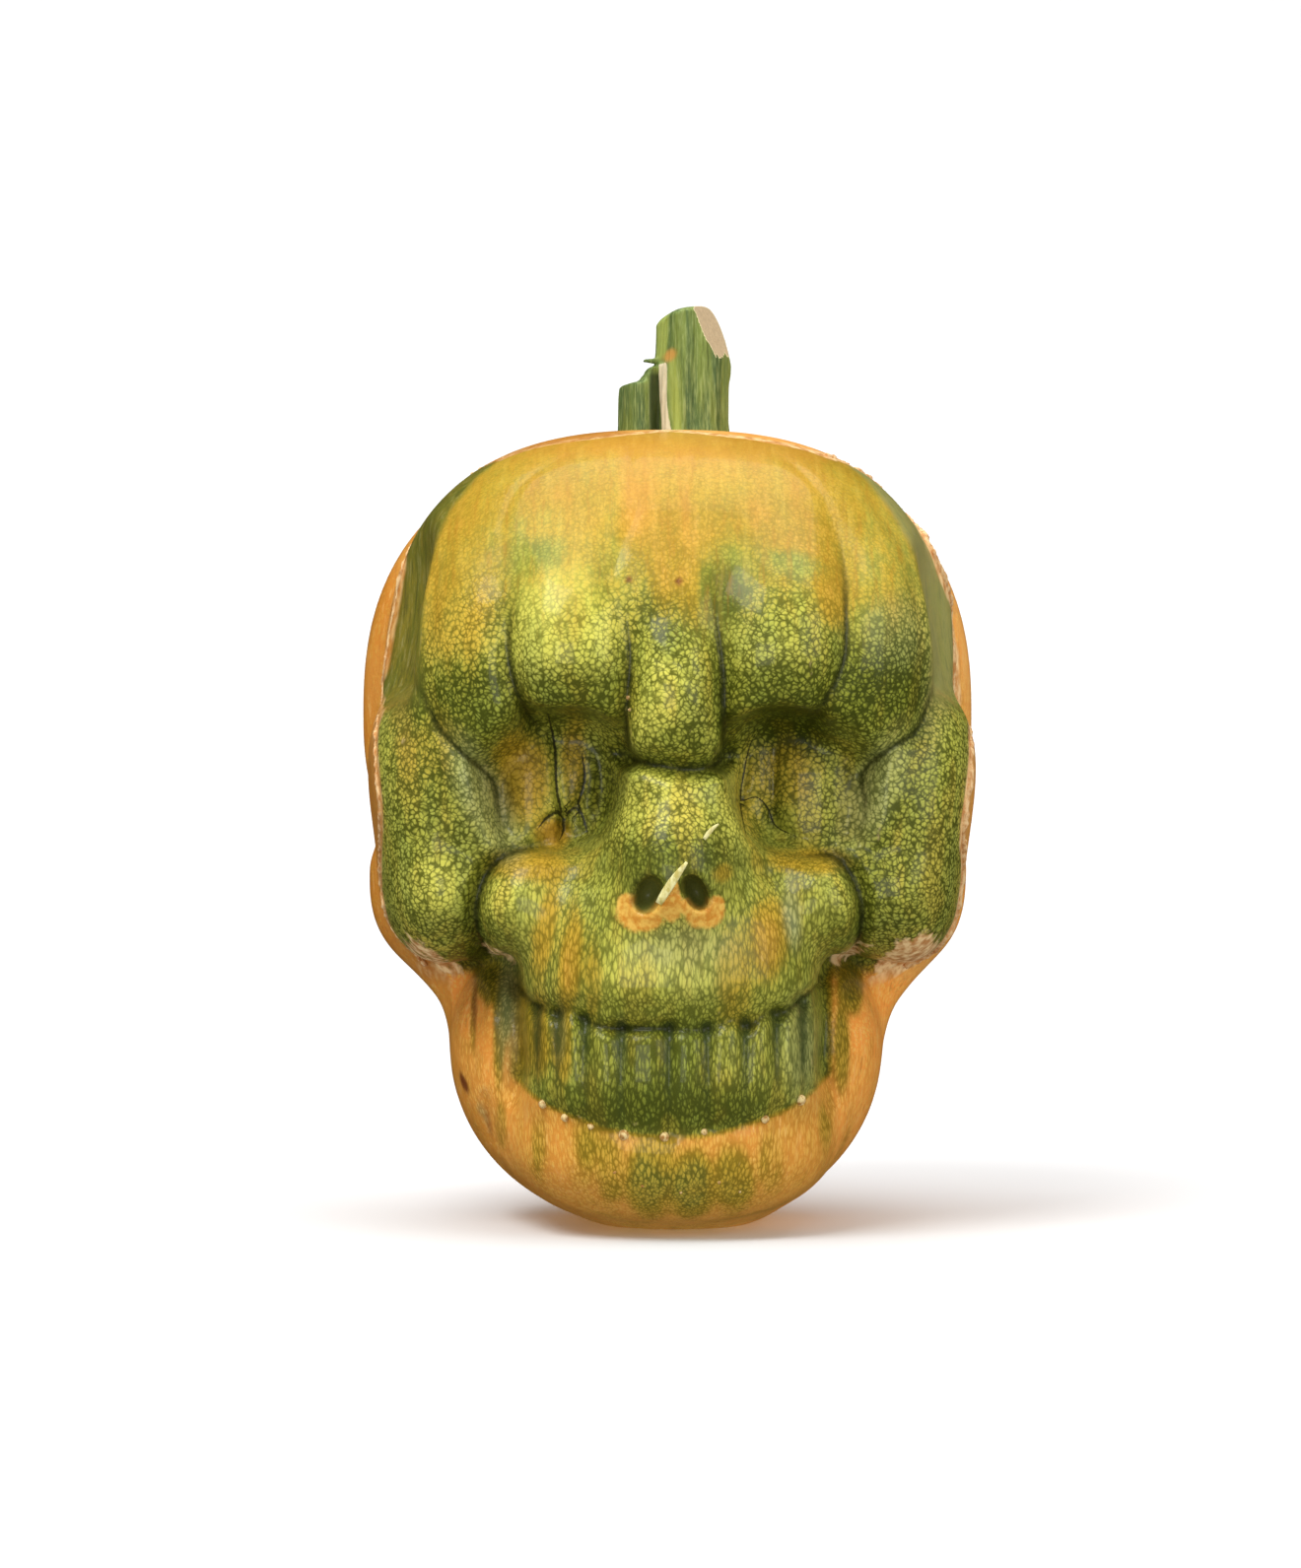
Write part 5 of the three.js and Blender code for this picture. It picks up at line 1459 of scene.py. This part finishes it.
# lamps whose power isn't a setting: name, place, power, width, what it points at
LAMPS = [("top", (0.35, -0.3, 1.35), 1.0, 0.6, FRUIT_MIDDLE),
         ("low", (-0.35, -1.6, 0.0), 6.8, 0.7, FRUIT_MIDDLE),
         ("backdrop", (0.0, 0.5, 1.9), 26.0, 2.0, PAPER_MIDDLE)]
ROOM_LIGHT = 0.5
CAMERA_PLACE = (-0.0057, -1.4, 0.13185)
CAMERA_ANGLE = 19.35


class SKULLPUMPKIN_OT_stage(bpy.types.Operator):
    """Set out the floor, the backdrop, the lights and the camera"""
    bl_idname = "skull_pumpkin.stage"
    bl_label = "Set Stage"

    def execute(self, context):
        settings = context.scene.skull_stage
        start = PAPER_BACK - PAPER_BEND
        profile = [(PAPER_FRONT, 0.0)]
        profile += [(start + PAPER_BEND * math.sin(a), PAPER_BEND * (1 - math.cos(a)))
                    for a in np.linspace(0, math.pi / 2, BEND_STEPS + 1)]
        profile.append((PAPER_BACK, PAPER_TOP))
        corners = [(side * PAPER_HALF, y, z) for y, z in profile for side in (-1, 1)]
        faces = [(2 * i, 2 * i + 1, 2 * i + 3, 2 * i + 2) for i in range(len(profile) - 1)]
        paper = Paint("Backdrop Paper")
        paper.wear(Base_Color=colour(settings.floor), Roughness=0.9, Specular_IOR_Level=0.1)
        mesh = bpy.data.meshes.new("backdrop")
        mesh.from_pydata(corners, [], faces)
        mesh.shade_smooth()
        mesh.materials.append(paper.material)
        backdrop = bpy.data.objects.new("backdrop", mesh)
        context.scene.collection.objects.link(backdrop)
        backdrop.visible_diffuse = False
        backdrop.visible_glossy = False

        lamps = [("key", (-0.6, -0.8, 1.3), settings.key, 0.8, FRUIT_MIDDLE),
                 ("fill", (1.1, -1.0, 0.5), settings.fill, 1.0, FRUIT_MIDDLE), *LAMPS]
        for name, place, power, width, aim in lamps:
            lamp = bpy.data.lights.new(name, "AREA")
            lamp.energy, lamp.size = power, width
            light = bpy.data.objects.new(name, lamp)
            light.location = place
            light.rotation_euler = (Vector(aim) - Vector(place)).to_track_quat("-Z", "Y").to_euler()
            context.scene.collection.objects.link(light)

        world = bpy.data.worlds.new("studio")
        world.use_nodes = True
        sky = world.node_tree.nodes["Background"]
        sky.inputs["Color"].default_value = (1, 1, 1, 1)
        sky.inputs["Strength"].default_value = ROOM_LIGHT
        world.cycles_visibility.glossy = False
        context.scene.world = world
        context.scene.view_settings.view_transform = "Standard"

        lens = bpy.data.cameras.new("camera")
        lens.sensor_fit = "VERTICAL"
        lens.sensor_height = 24.0
        lens.angle_y = math.radians(CAMERA_ANGLE)
        camera = bpy.data.objects.new("camera", lens)
        camera.location = CAMERA_PLACE
        camera.rotation_euler = (math.pi / 2, 0, 0)
        context.scene.collection.objects.link(camera)
        context.scene.camera = camera
        return {"FINISHED"}


class SKULLPUMPKIN_PT_panel(bpy.types.Panel):
    """The pumpkin's pieces"""
    bl_label = "Skull Pumpkin"
    bl_idname = "SKULLPUMPKIN_PT_panel"
    bl_space_type = "VIEW_3D"
    bl_region_type = "UI"
    bl_category = "Skull Pumpkin"

    def draw(self, context):
        for group, operator in ((context.scene.skull_fruit, SKULLPUMPKIN_OT_fruit),
                                (context.scene.skull_cork, SKULLPUMPKIN_OT_cork),
                                (context.scene.skull_stem, SKULLPUMPKIN_OT_stem),
                                (context.scene.skull_stage, SKULLPUMPKIN_OT_stage)):
            box = self.layout.box()
            for name in group.__annotations__:
                box.prop(group, name)
            box.operator(operator.bl_idname)


GROUPS = (("skull_fruit", FruitSettings), ("skull_cork", CorkSettings), ("skull_stem", StemSettings),
          ("skull_stage", StageSettings))
CLASSES = (FruitSettings, CorkSettings, StemSettings, StageSettings, SKULLPUMPKIN_OT_fruit,
           SKULLPUMPKIN_OT_cork, SKULLPUMPKIN_OT_stem, SKULLPUMPKIN_OT_stage, SKULLPUMPKIN_PT_panel)


def register():
    for item in CLASSES:
        bpy.utils.register_class(item)
    for name, group in GROUPS:
        setattr(bpy.types.Scene, name, PointerProperty(type=group))


def unregister():
    for name, _ in GROUPS:
        delattr(bpy.types.Scene, name)
    for item in reversed(CLASSES):
        bpy.utils.unregister_class(item)


def main():
    """Make the pumpkin and its stage."""
    register()
    bpy.ops.skull_pumpkin.fruit()
    bpy.ops.skull_pumpkin.cork()
    bpy.ops.skull_pumpkin.stem()
    bpy.ops.skull_pumpkin.stage()


if __name__ == "__main__":
    main()
